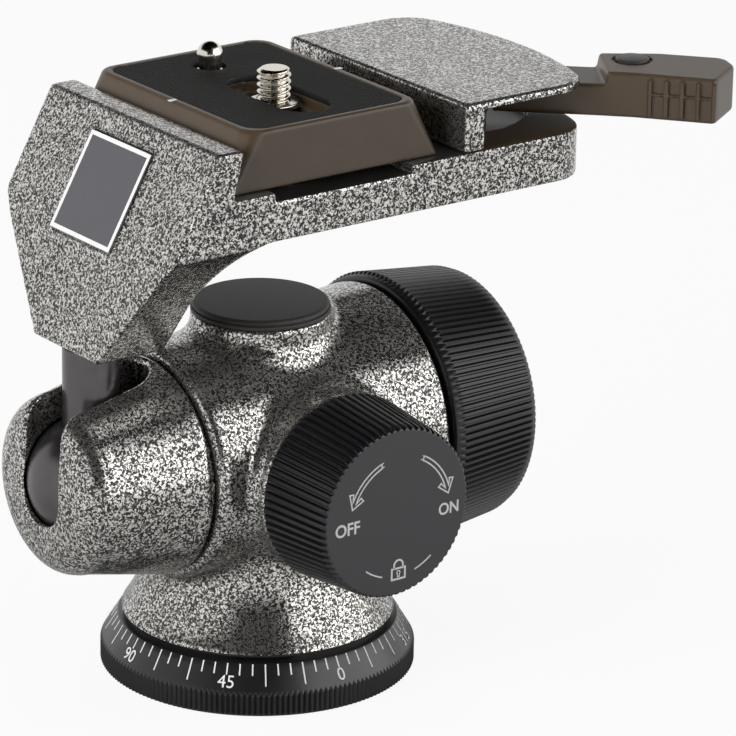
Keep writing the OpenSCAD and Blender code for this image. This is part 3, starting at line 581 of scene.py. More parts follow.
def ribbed(rows, ribs):
    """A knob turned about Z from rows of radius, height and share of the rib depth cut away."""
    angle = full_turn(ribs * RIB_STEPS)
    wave = np.abs((angle * ribs / (2 * math.pi)) % 1 - 0.5) * 2
    groove = np.clip((wave - 0.42) / 0.36, 0, 1)
    groove = groove * groove * (3 - 2 * groove)
    rims = [(r - RIB_DEPTH * share * groove, z) for r, z, share in rows]
    return stacked(rims, angle), band_faces(len(rows), len(angle), closed=True)


def on_lock_axis(points):
    """From a frame whose Z points out of the pan knob's face to the head's own frame."""
    points = np.asarray(points, float)
    return np.stack([points[:, 0], -points[:, 2], points[:, 1] + LOCK_Z], 1)


slant = (KNOB_R - KNOB_FACE_R) / (KNOB_FACE - KNOB_BACK)
rows = [(KNOB_R - 1.0, KNOB_BACK, 0), (KNOB_R - 0.7, KNOB_BACK, 0), (KNOB_R - 0.15, KNOB_BACK + 0.5, 0.3)]
rows += [(KNOB_R - slant * (z - KNOB_BACK), z, 1) for z in np.linspace(KNOB_BACK + 1.2, KNOB_FACE - 1.6, 8)]
rows += [(KNOB_FACE_R - 0.05, KNOB_FACE - 0.5, 0.75), (KNOB_FACE_R - 0.3, KNOB_FACE - 0.12, 0.45),
         (KNOB_FACE_R - 0.55, KNOB_FACE, 0.25), (KNOB_FACE_R - 1.55, KNOB_FACE, 0),
         (KNOB_FACE_R - 1.58, KNOB_FACE - 1, 0), (STUD_R, KNOB_FACE - 1, 0), (STUD_R, KNOB_BACK, 0)]
points, faces = ribbed(rows, PAN_RIBS)
pan_knob = piece("pan_knob_grip", on_lock_axis(points), faces, moulded, "pan_knob", "pan_knob", "knob",
                 sharp=50)

# Face of the pan-lock knob
# A satin dark grey face with printed white marks: two curved arrows, ON and OFF, and a padlock.
FACE_Z = KNOB_FACE + 0.05
MARK_CENTRE = np.array([0.6, -0.5])
PRINT_LIFT, PRINT_SUNK = 0.03, 0.02
WORD_BOLD, WORD_NARROW = 0.02, 0.94

# Satin lacquer on polymer: dark grey, even, with a very fine texture.
satin = mottled("satin_grey_lacquer", {"IOR": 1.5, "Roughness": 0.42}, 0.25, 3, "#333235", "#3a393c",
                bump=(0.06, 0.03))


def refinish(made, finish, chosen):
    """Gives the faces of a piece for which chosen(face) holds another finish."""
    made.data.materials.append(finish)
    for face in made.data.polygons:
        if chosen(face):
            face.material_index = len(made.data.materials) - 1


refinish(pan_knob, satin, lambda face: face.normal.y < -0.8)
rim = KNOB_FACE_R - 0.62
profile = [(0, KNOB_FACE - 1), (KNOB_FACE_R - 1.6, KNOB_FACE - 1), (KNOB_FACE_R - 1.6, KNOB_FACE + 0.01),
           (rim, KNOB_FACE + 0.01), (rim - 0.04, FACE_Z), (0, FACE_Z)]
points, faces = turned(profile, 144)
piece("pan_knob_disc", on_lock_axis(points), faces, satin, "pan_knob", "pan_knob_face", "knob_face")


def ribbon(path, width, closed=False):
    """A flat printed line along a path of points, as points in the plane and quads."""
    path = np.asarray(path, float)
    ahead = np.roll(path, -1, 0) - path
    behind = path - np.roll(path, 1, 0)
    if not closed:
        ahead[-1], behind[0] = behind[-1], ahead[0]
    ahead /= np.linalg.norm(ahead, axis=1)[:, None]
    behind /= np.linalg.norm(behind, axis=1)[:, None]
    way = ahead + behind
    way /= np.linalg.norm(way, axis=1)[:, None]
    miter = np.clip((way * ahead).sum(1), 0.5, 1)[:, None]
    side = np.stack([-way[:, 1], way[:, 0]], 1) * width / 2 / miter
    count = len(path)
    quads = []
    for i in range(count if closed else count - 1):
        j = (i + 1) % count
        quads.append((i, count + i, count + j, j))
    return np.concatenate([path - side, path + side]), quads


def solid_print(prints):
    """Printed shapes in a plane as one thin solid: z is 0 below and 1 above."""
    points, faces = [], []
    for flat, shapes in prints:
        first = sum(map(len, points))
        count = len(flat)
        points.append(np.column_stack([flat, np.zeros(count)]))
        points.append(np.column_stack([flat, np.ones(count)]))
        edges = {}
        for shape in shapes:
            faces.append(tuple(first + count + i for i in shape[::-1]))
            faces.append(tuple(first + i for i in shape))
            for a, b in zip(shape, shape[1:] + shape[:1]):
                edges[(a, b)] = True
        for a, b in edges:
            if (b, a) not in edges:
                faces.append((first + b, first + a, first + count + a, first + count + b))
    return np.concatenate(points), faces


def arc(radius, start, stop, steps=20, centre=(0, 0)):
    """Points in a plane along an arc, from one angle in degrees to another."""
    angle = np.radians(np.linspace(start, stop, steps))
    return np.stack([radius * np.cos(angle), radius * np.sin(angle)], 1) + np.array(centre)


def curved_arrow(radius, start, stop):
    """Outline of an arrow along an arc: two thin rails round its tail, and an open head."""
    sign = 1 if stop > start else -1
    rail, barb = 0.42, 1.75
    step = sign * math.degrees(1 / radius)
    neck = stop - step * 0.75
    outer = arc(radius + rail, start, neck - 0.25 * step)
    inner = arc(radius - rail, start, neck - 0.25 * step)
    tail_turn = start + 180 * (sign > 0)
    tail = arc(rail, tail_turn, tail_turn - 180, 8, arc(radius, start, start, 1)[0])
    tail = tail if np.linalg.norm(tail[0] - inner[0]) < np.linalg.norm(tail[0] - outer[0]) else tail[::-1]
    corners = (barb - 0.75, 2.45), (barb, 2.1), (0, -0.2), (-barb, 2.1), (0.75 - barb, 2.45)
    head = [arc(radius + out, stop - step * back, stop - step * back, 1) for out, back in corners]
    return np.concatenate([inner[::-1], tail[1:-1], outer, *head])


LINE_W = 0.28
prints = [ribbon(curved_arrow(*way), LINE_W, True) for way in ((11.2, 110, 162), (11.3, 64, 11))]
# A padlock with a shackle and a keyhole, at the lower rim
lock_at = np.array([0.6, -11.6])
case = np.array([(-1.5, -1.4), (1.5, -1.4), (1.5, 0.7), (-1.5, 0.7)]) + lock_at
shackle = np.concatenate([[(1.0, 0.7)], arc(1.0, 0, 180, 12, (0, 1.3)), [(-1.0, 0.7)]]) + lock_at
keyhole = np.concatenate([arc(0.36, -50, 230, 12, (0, -0.15)), [(-0.2, -0.95), (0.2, -0.95)]]) + lock_at
prints += [ribbon(case, LINE_W + 0.1, True), ribbon(shackle, LINE_W + 0.1), ribbon(keyhole, 0.2, True)]
# Curved ticks on each side of it, as on a turning symbol
for start, stop in ((-128, -108), (-72, -52)):
    prints.append(ribbon(arc(12.0, start, stop, 10, MARK_CENTRE), LINE_W))
for centred in prints[:2]:
    centred[0][:] += MARK_CENTRE
parts = [solid_print(prints)]
for word, at, height in (("OFF", (-11.1, -0.8), 2.5), ("ON", (11.9, -1.5), 2.35)):
    flat, shapes = lettering(word, height, WORD_BOLD)
    flat[:, 0] *= WORD_NARROW
    flat[:, :2] += np.array(at)
    parts.append((flat, shapes))
points, faces = together(parts)
points[:, 2] = FACE_Z - PRINT_SUNK + points[:, 2] * (PRINT_LIFT + PRINT_SUNK)
piece("pan_knob_marks", on_lock_axis(points), faces, paint, "pan_knob", slot="knob_face")

# Ball-lock knob
# The same ribbed black polymer, larger: a short front rim, a taper to the rear and a plain disc set in
# its end.
GRIP_X, GRIP_END = 26.9, 48.3
GRIP_R, GRIP_REAR_R = 26.7, 24.2
END_DISC_R, END_DISC_H = 20.2, 1.2
SCREW_BORE_R = 6.05
HOLLOW_IN, HOLLOW_OUT, HOLLOW_DEEP = 10.0, 21.0, 6


def on_barrel_axis(points):
    """From a frame whose Z is the barrel's axis to the head's own frame."""
    points = np.asarray(points, float)
    return np.stack([points[:, 2], points[:, 0], points[:, 1] + AXIS_Z], 1)


slant = (GRIP_R - GRIP_REAR_R - 0.4) / (GRIP_END - GRIP_X - 3.2)
rows = [(GRIP_R - 1.6, GRIP_X, 0), (GRIP_R - 1.1, GRIP_X, 0), (GRIP_R - 0.7, GRIP_X + 0.4, 0),
        (GRIP_R - 0.62, GRIP_X + 1.3, 0), (GRIP_R - 0.1, GRIP_X + 1.9, 0.8)]
rows += [(GRIP_R - slant * (z - GRIP_X - 1), z, 1) for z in np.linspace(GRIP_X + 2.3, GRIP_END - 2.4, 9)]
rows += [(GRIP_REAR_R - 0.2, GRIP_END - 0.9, 0.7), (GRIP_REAR_R - 0.9, GRIP_END - 0.25, 0.25),
         (GRIP_REAR_R - 1.8, GRIP_END, 0), (END_DISC_R + 0.3, GRIP_END, 0), (END_DISC_R, GRIP_END - 0.3, 0),
         (END_DISC_R, GRIP_END - END_DISC_H, 0), (SCREW_BORE_R, GRIP_END - END_DISC_H, 0),
         (SCREW_BORE_R, GRIP_X, 0), (HOLLOW_IN, GRIP_X, 0), (HOLLOW_IN, GRIP_X + HOLLOW_DEEP, 0),
         (HOLLOW_OUT, GRIP_X + HOLLOW_DEEP, 0), (HOLLOW_OUT, GRIP_X, 0)]
points, faces = ribbed(rows, LOCK_RIBS)
piece("ball_lock_grip", on_barrel_axis(points), faces, moulded, "lock_knob", "lock_knob", "knob", sharp=50)
profile = rounded([(0, GRIP_END - END_DISC_H), (END_DISC_R - 0.05, GRIP_END - END_DISC_H),
                   (END_DISC_R - 0.05, GRIP_END - 0.2), (0, GRIP_END - 0.2)], [0, 0.35])
points, faces = turned(profile, 144)
piece("ball_lock_disc", on_barrel_axis(points), faces, satin, "lock_knob", "lock_knob_cap", "knob_face")

# Collar
# An enamelled casting that turns on the front of the barrel and holds the ball. A slot from its top to
# the middle of its face lets the stem drop to the level; its edges are rounded.
COLLAR_X, COLLAR_END = -48.7, -24.4
COLLAR_R, COLLAR_REAR_R = 17.0, 21.2
NOSE_ROUND, NOSE_DOME = 4.6, 0.9
BALL_X, BALL_R, BALL_GAP = -38.0, 12.0, 0.3
STEM_R, SLOT_W = 5.3, 5.65
SLOT_REAR, SLOT_LOW = -26.5, 7.0
SEAT_BORE_R, SEAT_BORE_X = 13.7, -31.0
PISTON_BORE_R, PISTON_BORE_X = 15.5, -23.3
GROOVE_R, GROOVE_X, GROOVE_W = 17.7, -21.6, 1.4
COLLAR_STEP = 0.36

nose_flat, nose_x = COLLAR_R - NOSE_ROUND, COLLAR_X + NOSE_ROUND
nose_r = (nose_flat ** 2 + NOSE_DOME ** 2) / (2 * NOSE_DOME)
collar_lean = (COLLAR_REAR_R - COLLAR_R) / (COLLAR_END - nose_x)


def collar_field(x, y, z):
    from_axis = off_axis(y, z - AXIS_Z)
    from_ball = off_axis(x - BALL_X, from_axis)
    side = np.maximum((from_axis - COLLAR_R - collar_lean * (x - nose_x)) * 0.97, nose_x - x)
    dome = off_axis(x - COLLAR_X + NOSE_DOME - nose_r, from_axis) - nose_r
    nose = np.maximum(np.maximum(dome, from_axis - nose_flat), x - nose_x)
    rim = off_axis(x - nose_x, from_axis - nose_flat) - NOSE_ROUND
    shell = meet(join(np.minimum(side, nose), rim, 0.6), x - COLLAR_END, 2.0)
    spigot = np.maximum(from_axis - SPIGOT_R + 0.05, np.abs(x - COLLAR_END - 2.6) - 3)
    whole = join(shell, spigot, 0.2)
    slot = np.sqrt(y * y + np.maximum(x - SLOT_REAR + SLOT_W, 0) ** 2
                   + np.maximum(AXIS_Z - SLOT_LOW + SLOT_W - z, 0) ** 2) - SLOT_W
    whole = meet(whole, -slot, 1.0)
    hollow = np.maximum(from_axis - BALL_R - BALL_GAP, BALL_X - x)
    hollow = np.minimum(hollow, from_ball - BALL_R - BALL_GAP)
    hollow = np.minimum(hollow, np.maximum(from_axis - SEAT_BORE_R, SEAT_BORE_X - x))
    hollow = np.minimum(hollow, np.maximum(from_axis - PISTON_BORE_R, PISTON_BORE_X - x))
    groove = np.maximum(GROOVE_R - from_axis, np.abs(x - GROOVE_X - GROOVE_W / 2) - GROOVE_W / 2)
    return meet(meet(whole, -hollow, 0.3), -groove, 0.1)


carve("ball_collar", collar_field, (-51, -23, 21), (-17.5, 23, 68), COLLAR_STEP, enamel, "collar", "collar",
      "enamel")

# Ball and stem
# Turned from aluminium and hard anodised dark grey. The ball is polished to a satin; the stem stands in
# a flat on it and screws up into the neck of the platform.
NECK_Z = 70.5
STEM_PIN_R = 3.0

# Hard anodised aluminium: dark warm grey, satin, a little cloudy as the oxide takes the dye.
hard_anodised = mottled("hard_anodised_aluminium", {"Metallic": 0.85}, 2, 4, "#545152", "#605d5e",
                        gloss=(0.22, 0.34))

flat_up = math.sqrt(BALL_R ** 2 - STEM_R ** 2)
swing = np.linspace(-math.pi / 2, math.asin(flat_up / BALL_R), 64)
profile = [(BALL_R * math.cos(a), BALL_R * math.sin(a)) for a in swing]
profile[0] = (0, -BALL_R)
profile += [(STEM_PIN_R + 0.06, flat_up), (STEM_PIN_R + 0.05, 1.0), (0, 1.0)]
piece("tilt_ball", *turned(profile, 128, (BALL_X, 0, AXIS_Z)), hard_anodised, "ball", "ball", "ball")
stem_foot = AXIS_Z + flat_up + 0.05
profile = rounded([(0, AXIS_Z + 2), (STEM_PIN_R, AXIS_Z + 2), (STEM_PIN_R, stem_foot), (STEM_R, stem_foot),
                   (STEM_R, NECK_Z - 0.02), (STEM_PIN_R, NECK_Z - 0.02), (STEM_PIN_R, NECK_Z + 10),
                   (0, NECK_Z + 10)], [0.3, 0, 0.05, 0.15, 0, 0.3], 4)
piece("ball_stem", *turned(profile, 96, (BALL_X, 0, 0)), hard_anodised, "platform", "stem", "ball")

# Platform
# One aluminium casting: the wedge-shaped head with its sloped front, the neck that takes the stem, the
# fixed jaw along its top and the long flat arm. Its edges are softly broken under the enamel.
ARM_TOP, ARM_LOW, ARM_W = 103.0, 93.7, 27.3
JAW_TOP, JAW_FRONT, JAW_IN, JAW_FOOT = 112.0, -28.6, -23.3, -25.4
HEAD_SLOPE, CHIN_SLOPE = math.radians(29.2), math.radians(12)
NECK_W, NECK_REAR, UNDER_R = 10.1, -28.8, 13.0
END_X, END_R, END_CORNER = 60.1, 70.0, 9.0
PIVOT_X, PIVOT_R = 39.6, 3.02
NOTCH_LOW, NOTCH_FROM, NOTCH_TO = 101.2, -16.4, 14.4
POCKET_R, POCKET_Z = 17.9, 101.0
BED_END = 26.3
GRUB_UP, GRUB_R, STEM_HOLE_H = 4.5, 2.02, 10.2
SCREW_CIRCLE, SCREW_HOLE_R, SCREW_HEAD_R, SCREW_HEAD_H = 22.14, 1.62, 3.02, 3
screw_turns = np.radians([72, 121, -121])
SCREW_PLACES = np.stack([PIVOT_X + SCREW_CIRCLE * np.cos(screw_turns),
                         SCREW_CIRCLE * np.sin(screw_turns)], 1)
BADGE_SIDE, BADGE_DOWN, BADGE_SUNK, BADGE_UP = 19.4, 14.3, 0.6, 0.4
EDGE = 0.55
PLATFORM_STEP = 0.5


def outline(points):
    """Signed distance in a plane to a closed outline, negative inside."""
    ring = np.array(points, float)
    ring = ring[np.linalg.norm(ring - np.roll(ring, 1, 0), axis=1) > 0.001]

    def distance(u, v):
        best, inside = np.inf, False
        for a, b in zip(ring, np.roll(ring, -1, 0)):
            edge = b - a
            along = np.clip(((u - a[0]) * edge[0] + (v - a[1]) * edge[1]) / (edge @ edge), 0, 1)
            best = np.minimum(best, (u - a[0] - along * edge[0]) ** 2 + (v - a[1] - along * edge[1]) ** 2)
            if edge[1]:
                left = u < a[0] + (v - a[1]) * edge[0] / edge[1]
                inside = inside ^ (((a[1] > v) != (b[1] > v)) & left)
        return np.where(inside, -1.0, 1.0) * np.sqrt(best)
    return distance


face_x = JAW_FRONT - (JAW_TOP - ARM_LOW) * math.tan(HEAD_SLOPE)
foot_x = face_x - (ARM_LOW - NECK_Z) * math.tan(CHIN_SLOPE)
under = np.array([NECK_REAR + UNDER_R, ARM_LOW - UNDER_R]) + arc(UNDER_R, 180, 90, 24)
side_corners = rounded([(JAW_IN - 1.6, JAW_TOP), (JAW_FRONT, JAW_TOP), (face_x + 0.5, ARM_LOW + 0.4),
                        (face_x - 1.0, ARM_LOW - 4), (foot_x, NECK_Z + 0.5), (foot_x + 0.7, NECK_Z),
                        (NECK_REAR, NECK_Z)], [0.9, 9, 9, 0.5, 0.5])
side_view = outline(np.concatenate([side_corners, under, [(END_X + 8, ARM_LOW), (END_X + 8, ARM_TOP)],
                                    rounded([(END_X, ARM_TOP), (JAW_FOOT, ARM_TOP), (JAW_IN, JAW_TOP),
                                             (JAW_IN - 1.5, JAW_TOP)], [0.3, 0.5])]))
end_mid = END_X - END_R
taper = np.array([ARM_LOW - 0.4 - NECK_Z, NECK_W - ARM_W])
taper /= np.linalg.norm(taper)


def end_plan(x, y, half):
    """Straight sides and the slightly bowed, round-cornered end of the arm and of its cover."""
    wide, inner = np.abs(y), half - END_CORNER
    corner_x = end_mid + math.sqrt((END_R - END_CORNER) ** 2 - inner ** 2)
    straight = np.maximum(wide - half, off_axis(x - end_mid, y) - END_R)
    corner = off_axis(x - corner_x, wide - inner) - END_CORNER
    at_corner = (x > corner_x) & (wide * (corner_x - end_mid) > inner * (x - end_mid))
    return np.where(at_corner, corner, straight)


def badge_frame(x, z):
    """Distance up the sloped front from the badge's middle, and distance out of the slope."""
    u = x - JAW_FRONT + BADGE_DOWN * math.sin(HEAD_SLOPE)
    v = z - JAW_TOP + BADGE_DOWN * math.cos(HEAD_SLOPE)
    return (u * math.sin(HEAD_SLOPE) + v * math.cos(HEAD_SLOPE),
            v * math.sin(HEAD_SLOPE) - u * math.cos(HEAD_SLOPE))


def platform_field(x, y, z):
    wide = np.abs(y)
    neck = (wide - ARM_W) * taper[0] + (z - ARM_LOW + 0.4) * taper[1]
    whole = meet(side_view(x, z), meet(end_plan(x, y, ARM_W), neck, EDGE), EDGE)
    along, out = badge_frame(x, z)
    square = np.maximum(wide, np.abs(along)) - BADGE_SIDE / 2
    whole = join(whole, np.maximum(square - 0.5, np.abs(out + 1.5) - 1.5), 0.4)
    from_pivot, from_stem = off_axis(x - PIVOT_X, y), off_axis(x - BALL_X, y)
    grub = np.maximum(off_axis(y, z - NECK_Z - GRUB_UP) - GRUB_R, BALL_X - x)
    middle = (NOTCH_FROM + NOTCH_TO) / 2
    holes = [np.maximum(square - 0.02, -out - BADGE_SUNK),
             np.maximum(np.abs(x - middle) - (NOTCH_TO - middle), NOTCH_LOW - z),
             np.maximum(from_pivot - POCKET_R, POCKET_Z - z),
             np.maximum(from_pivot - PIVOT_R, ARM_LOW + 2 - z),
             np.maximum(from_stem - STEM_PIN_R - 0.02, z - NECK_Z - STEM_HOLE_H), grub]
    for at_x, at_y in SCREW_PLACES:
        from_screw = off_axis(x - at_x, y - at_y)
        head = np.maximum(from_screw - SCREW_HEAD_R, z - ARM_LOW - SCREW_HEAD_H)
        holes.append(np.minimum(from_screw - SCREW_HOLE_R, head))
    return cut(whole, holes, 0.15)


platform = carve("platform_casting", platform_field, (-46, -29, 69), (62, 29, 114), PLATFORM_STEP, enamel,
                 "platform", "platform", "enamel")


def on_bed(face, start, stop):
    """Whether a face of the platform lies on the arm's flat top, between two places along it."""
    x, _, z = face.center / MM
    return face.normal.z > 0.9 and start < x < stop and POCKET_Z - 0.1 < z < ARM_TOP + 0.1


# The bed between jaw and cover is milled bare
refinish(platform, bare, lambda face: on_bed(face, JAW_FOOT, BED_END))

# Badge
# A thin aluminium plate glued into the front: satin grey lacquer, a white frame line near its edge and
# bright cut edges. It is blank.
FRAME_W = 0.8

# Baked lacquer: cool mid grey, satin, hardly clouded.
plaque = mottled("lacquered_badge", {"IOR": 1.5, "Roughness": 0.38}, 0.5, 4, "#4f4e53", "#5c5b61")


def on_badge(points):
    """From a frame whose Z points out of the sloped front to the head's own frame."""
    points = np.asarray(points, float)
    s, c = math.sin(HEAD_SLOPE), math.cos(HEAD_SLOPE)
    down = BADGE_DOWN - points[:, 1]
    return np.stack([JAW_FRONT - down * s - points[:, 2] * c, points[:, 0],
                     JAW_TOP - down * c + points[:, 2] * s], 1)


def slab(half, low, high, edge):
    """A square plate with a small bevel round its top edge: points and faces."""
    rims = [(half, low), (half, high - edge), (half - edge, high)]
    points = [(sx * h, sy * h, z) for h, z in rims for sx, sy in ((1, 1), (-1, 1), (-1, -1), (1, -1))]
    return np.array(points), band_faces(3, 4) + [(3, 2, 1, 0), (8, 9, 10, 11)]


points, faces = slab(BADGE_SIDE / 2 - 0.02, -BADGE_SUNK, BADGE_UP, 0.12)
badge = piece("blank_badge", on_badge(points), faces, plaque, "platform", "badge", "badge", sharp=20)
refinish(badge, bare, lambda face: face.index < 8)
square = np.array([(1, 1), (-1, 1), (-1, -1), (1, -1)]) * (BADGE_SIDE / 2 - 0.14 - FRAME_W / 2)
points, faces = solid_print([ribbon(square, FRAME_W, True)])
points[:, 2] = BADGE_UP - 0.03 + points[:, 2] * 0.06
piece("badge_frame", on_badge(points), faces, paint, "platform", slot="badge")

# Clamp cover
# An enamelled cover over the end of the arm, held by three screws from below. Its right front is open,
# so that the lever can swing.
COVER_X, COVER_LOW, COVER_TOP, COVER_W = 26.0, 103.3, 112.4, 27.8
SLOT_TOP, CAVITY_R, CAVITY_TOP, HUB_R = 110.9, 19.35, 107.5, 9.5
WINDOW_X = COVER_X + 4.4
COVER_STEP = 0.42
window = outline([(WINDOW_X, -40), (END_X + 12, -40), (END_X + 12, COVER_W + 3),
                  (PIVOT_X + 16, COVER_W - 3.8), (PIVOT_X, 11.4), (PIVOT_X, 0), (WINDOW_X, -14)])


def cover_field(x, y, z):
    plan = meet(end_plan(x, y, COVER_W), COVER_X - x, 0.8)
    block = meet(meet(plan, z - COVER_TOP, 1.0), COVER_LOW - z, 0.4)
    from_pivot = off_axis(x - PIVOT_X, y)
    holes = (np.maximum(from_pivot - CAVITY_R, z - CAVITY_TOP),
             np.maximum(from_pivot - HUB_R, z - SLOT_TOP), np.maximum(window(x, y), z - SLOT_TOP),
             np.maximum(from_pivot - PIVOT_R, z - SLOT_TOP - 0.8))
    screws = [np.maximum(off_axis(x - at_x, y - at_y) - SCREW_HOLE_R, z - SLOT_TOP + 1)
              for at_x, at_y in SCREW_PLACES]
    return cut(cut(block, holes, 0.35), screws, 0.1)


carve("clamp_cover", cover_field, (25, -29, 102.3), (62, 29, 113.4), COVER_STEP, enamel, "platform",
      "cover", "enamel")

# Clamp lever
# Moulded in brown-grey glass-filled polymer. A flat arm runs out of the cover, steps up to the grip and
# carries five finger ribs with a line across them.
LEVER_TURN = math.radians(-42)
LEVER_Z, ARM_LID, GRIP_LID = 104.3, 110.5, 113.0
LEVER_W, LEVER_HUB_R, LEVER_BORE_R, GRIP_FROM = 6.0, 9.0, 3.05, 30.5
SIDE_U, SIDE_V, SIDE_END_U, SIDE_END_V = 7.5, 6.4, 23.0, 8.6
CAM_HOLE_R, CAM_OFF, CAM_TOP = 14.96, 4.0, 107.12
BUTTON_AT, BUTTON_R, BUTTON_DEEP = np.array([37.2, 3.2]), 3.2, 4.5
RIB_FROM, RIB_PITCH, RIB_COUNT = 41.1, 3.0, 5
RIB_HALF, RIB_REACH, RIB_OUT = 0.42, 3.6, 0.7
LINE_UP, LINE_HALF = 0.7, 0.22
LEVER_STEP = 0.32

# Glass-filled polymer: warm grey-brown, satin, with a faint flow of the moulding.
polymer = mottled("brown_grey_polymer", {"IOR": 1.5}, 5, 5, "#463a2d", "#524435")
tree = polymer.node_tree
shader = tree.nodes["Principled BSDF"]
place = add(tree, "TexCoord").outputs["Object"]
grain = add(tree, "TexNoise", {"Vector": place, "Scale": 1 / (0.3 * MM), "Detail": 3})
gloss = add(tree, "MapRange", {"Value": grain.outputs["Fac"], "To Min": 0.32, "To Max": 0.44})
tree.links.new(gloss.outputs[0], shader.inputs["Roughness"])
relief = add(tree, "Bump", {"Height": grain.outputs["Fac"], "Strength": 0.1, "Distance": 0.04 * MM})
tree.links.new(relief.outputs[0], shader.inputs["Normal"])

# The bed that the lever slides on, under the cover, has a sheet of the same polymer
refinish(platform, polymer, lambda face: on_bed(face, BED_END, math.inf))

lever_plan = outline(rounded([(0, LEVER_W), (0, -LEVER_W), (GRIP_FROM, -6.15),
                              (GRIP_FROM + SIDE_U, -SIDE_V),
                              (GRIP_FROM + SIDE_END_U, -SIDE_END_V), (GRIP_FROM + 26.1, 2),
                              (GRIP_FROM + 24, 7), (GRIP_FROM + 11.5, 8.4), (GRIP_FROM + 0.6, 7),
                              (GRIP_FROM, LEVER_W), (0, LEVER_W)], [0, 8, 8, 1.2, 4, 3, 8, 0.4, 0.3]))
rib_lean = math.atan2(SIDE_END_V - SIDE_V, SIDE_END_U - SIDE_U)


def lever_frame(x, y):
    """Places along and across the lever, from its pivot."""
    s, c = math.sin(LEVER_TURN), math.cos(LEVER_TURN)
    return (x - PIVOT_X) * c + y * s, y * c - (x - PIVOT_X) * s


def lever_field(x, y, z):
    u, v = lever_frame(x, y)
    from_pivot = off_axis(u, v)
    plan = np.minimum(lever_plan(u, v), from_pivot - LEVER_HUB_R)
    riser = (GRIP_FROM - 0.2 - 0.19 * (v - LEVER_W) + 0.2 * (z - ARM_LID) - u) * 0.93
    lid = join(z - ARM_LID, meet(z - GRIP_LID, riser, 0.5), 0.6)
    grip = meet(meet(plan, lid, 0.7), LEVER_Z - z, 0.9)
    ribs_u = u - RIB_FROM
    nearest = ribs_u - RIB_PITCH * np.clip(np.round(ribs_u / RIB_PITCH), 0, RIB_COUNT - 1)
    near_side = (v * math.cos(rib_lean) + (u - GRIP_FROM - SIDE_U) * math.sin(rib_lean)
                 + SIDE_V * math.cos(rib_lean))
    middle = (LEVER_Z + GRIP_LID) / 2
    upright = np.maximum(np.abs(nearest) - RIB_HALF, np.abs(z - middle) - RIB_REACH)
    crossbar = np.maximum(np.abs(u - RIB_FROM - 2 * RIB_PITCH) - 2 * RIB_PITCH,
                          np.abs(z - middle - LINE_UP) - LINE_HALF)
    bars = meet(np.minimum(upright, crossbar), np.abs(near_side) - RIB_OUT, 0.3)
    whole = join(grip, bars, 0.2)
    from_cam = off_axis(x - PIVOT_X + CAM_OFF, y)
    from_button = off_axis(u - BUTTON_AT[0], v - BUTTON_AT[1])
    holes = (from_pivot - LEVER_BORE_R, np.maximum(from_cam - CAM_HOLE_R, z - CAM_TOP),
             np.maximum(from_button - BUTTON_R - 0.05, GRIP_LID - BUTTON_DEEP - z),
             np.maximum(from_button - BUTTON_R - 0.6, GRIP_LID - 0.7 - z))
    return cut(whole, holes, 0.2)


carve("clamp_lever", lever_field, (29, -50, 103), (90, 10, 114.2), LEVER_STEP, polymer, "lever", "lever",
      "polymer")

# Lever button
# A round safety button of darker polymer in the top of the grip, with a slightly domed, rounded top.
button_polymer = mottled("dark_button_polymer", {"IOR": 1.5, "Roughness": 0.4}, 0.3, 3, "#2a2725",
                         "#383532")
profile = rounded([(0, GRIP_LID - 2.6), (BUTTON_R, GRIP_LID - 2.6), (BUTTON_R, GRIP_LID + 0.4),
                   (0, GRIP_LID + 0.55)], [0.2, 0.35])
s, c = math.sin(LEVER_TURN), math.cos(LEVER_TURN)
button_at = (PIVOT_X + BUTTON_AT[0] * c - BUTTON_AT[1] * s, BUTTON_AT[0] * s + BUTTON_AT[1] * c, 0)
piece("safety_button", *turned(profile, 72, button_at), button_polymer, "lever_button", "lever_button",
      "button")

# Quick-release plate
# Moulded in the same brown-grey polymer. Two sides slope in to the top, so that jaw and cam hold it
# down; the top is a tray for the rubber pad, with a long recess for the screw.
PLATE_Z, PLATE_TOP = 103.05, 114.15
PLATE_MID, PLATE_HALF, PLATE_W = -1.5, 23.5, 25.0
PLATE_SLOPE = math.tan(math.radians(22))
PLATE_ROUND, PLATE_FOOT_ROUND, PAD_ROUND = 4.0, 1.1, 3.6
PAD_T, PAD_INSET = 1.2, 1.5
SLOT_Y, SLOT_REACH, RECESS_R, RECESS_Z = -7.0, 7.6, 5.2, 111.35
SCREW_SLOT_R, HEAD_RECESS_R, HEAD_RECESS_H = 3.475, 7.0, 3.4
SCREW_Y, PIN_Y, PIN_R = -5.5, 14.9, 2.45
SPRING_R, SPRING_MID, SPRING_HALF = 3.65, 107.8, 3.35
PLATE_STEP = 0.4


def plate_plan(x, y, z, inset, corner):
    """Distance to the plate's round-cornered outline at a height, moved in by inset."""
    narrow = np.minimum(z, PLATE_TOP) - PLATE_Z
    u = np.abs(x - PLATE_MID) - (PLATE_HALF - inset - corner - narrow * PLATE_SLOPE)
    v = np.abs(y) - (PLATE_W - inset - corner)
    return off_axis(np.maximum(u, 0), np.maximum(v, 0)) + np.minimum(np.maximum(u, v), 0) - corner


def recess(x, y, r):
    """Distance to the long hole about the camera screw."""
    v = y - SLOT_Y - np.clip(y - SLOT_Y, -SLOT_REACH, SLOT_REACH)
    return off_axis(x - PLATE_MID, v) - r


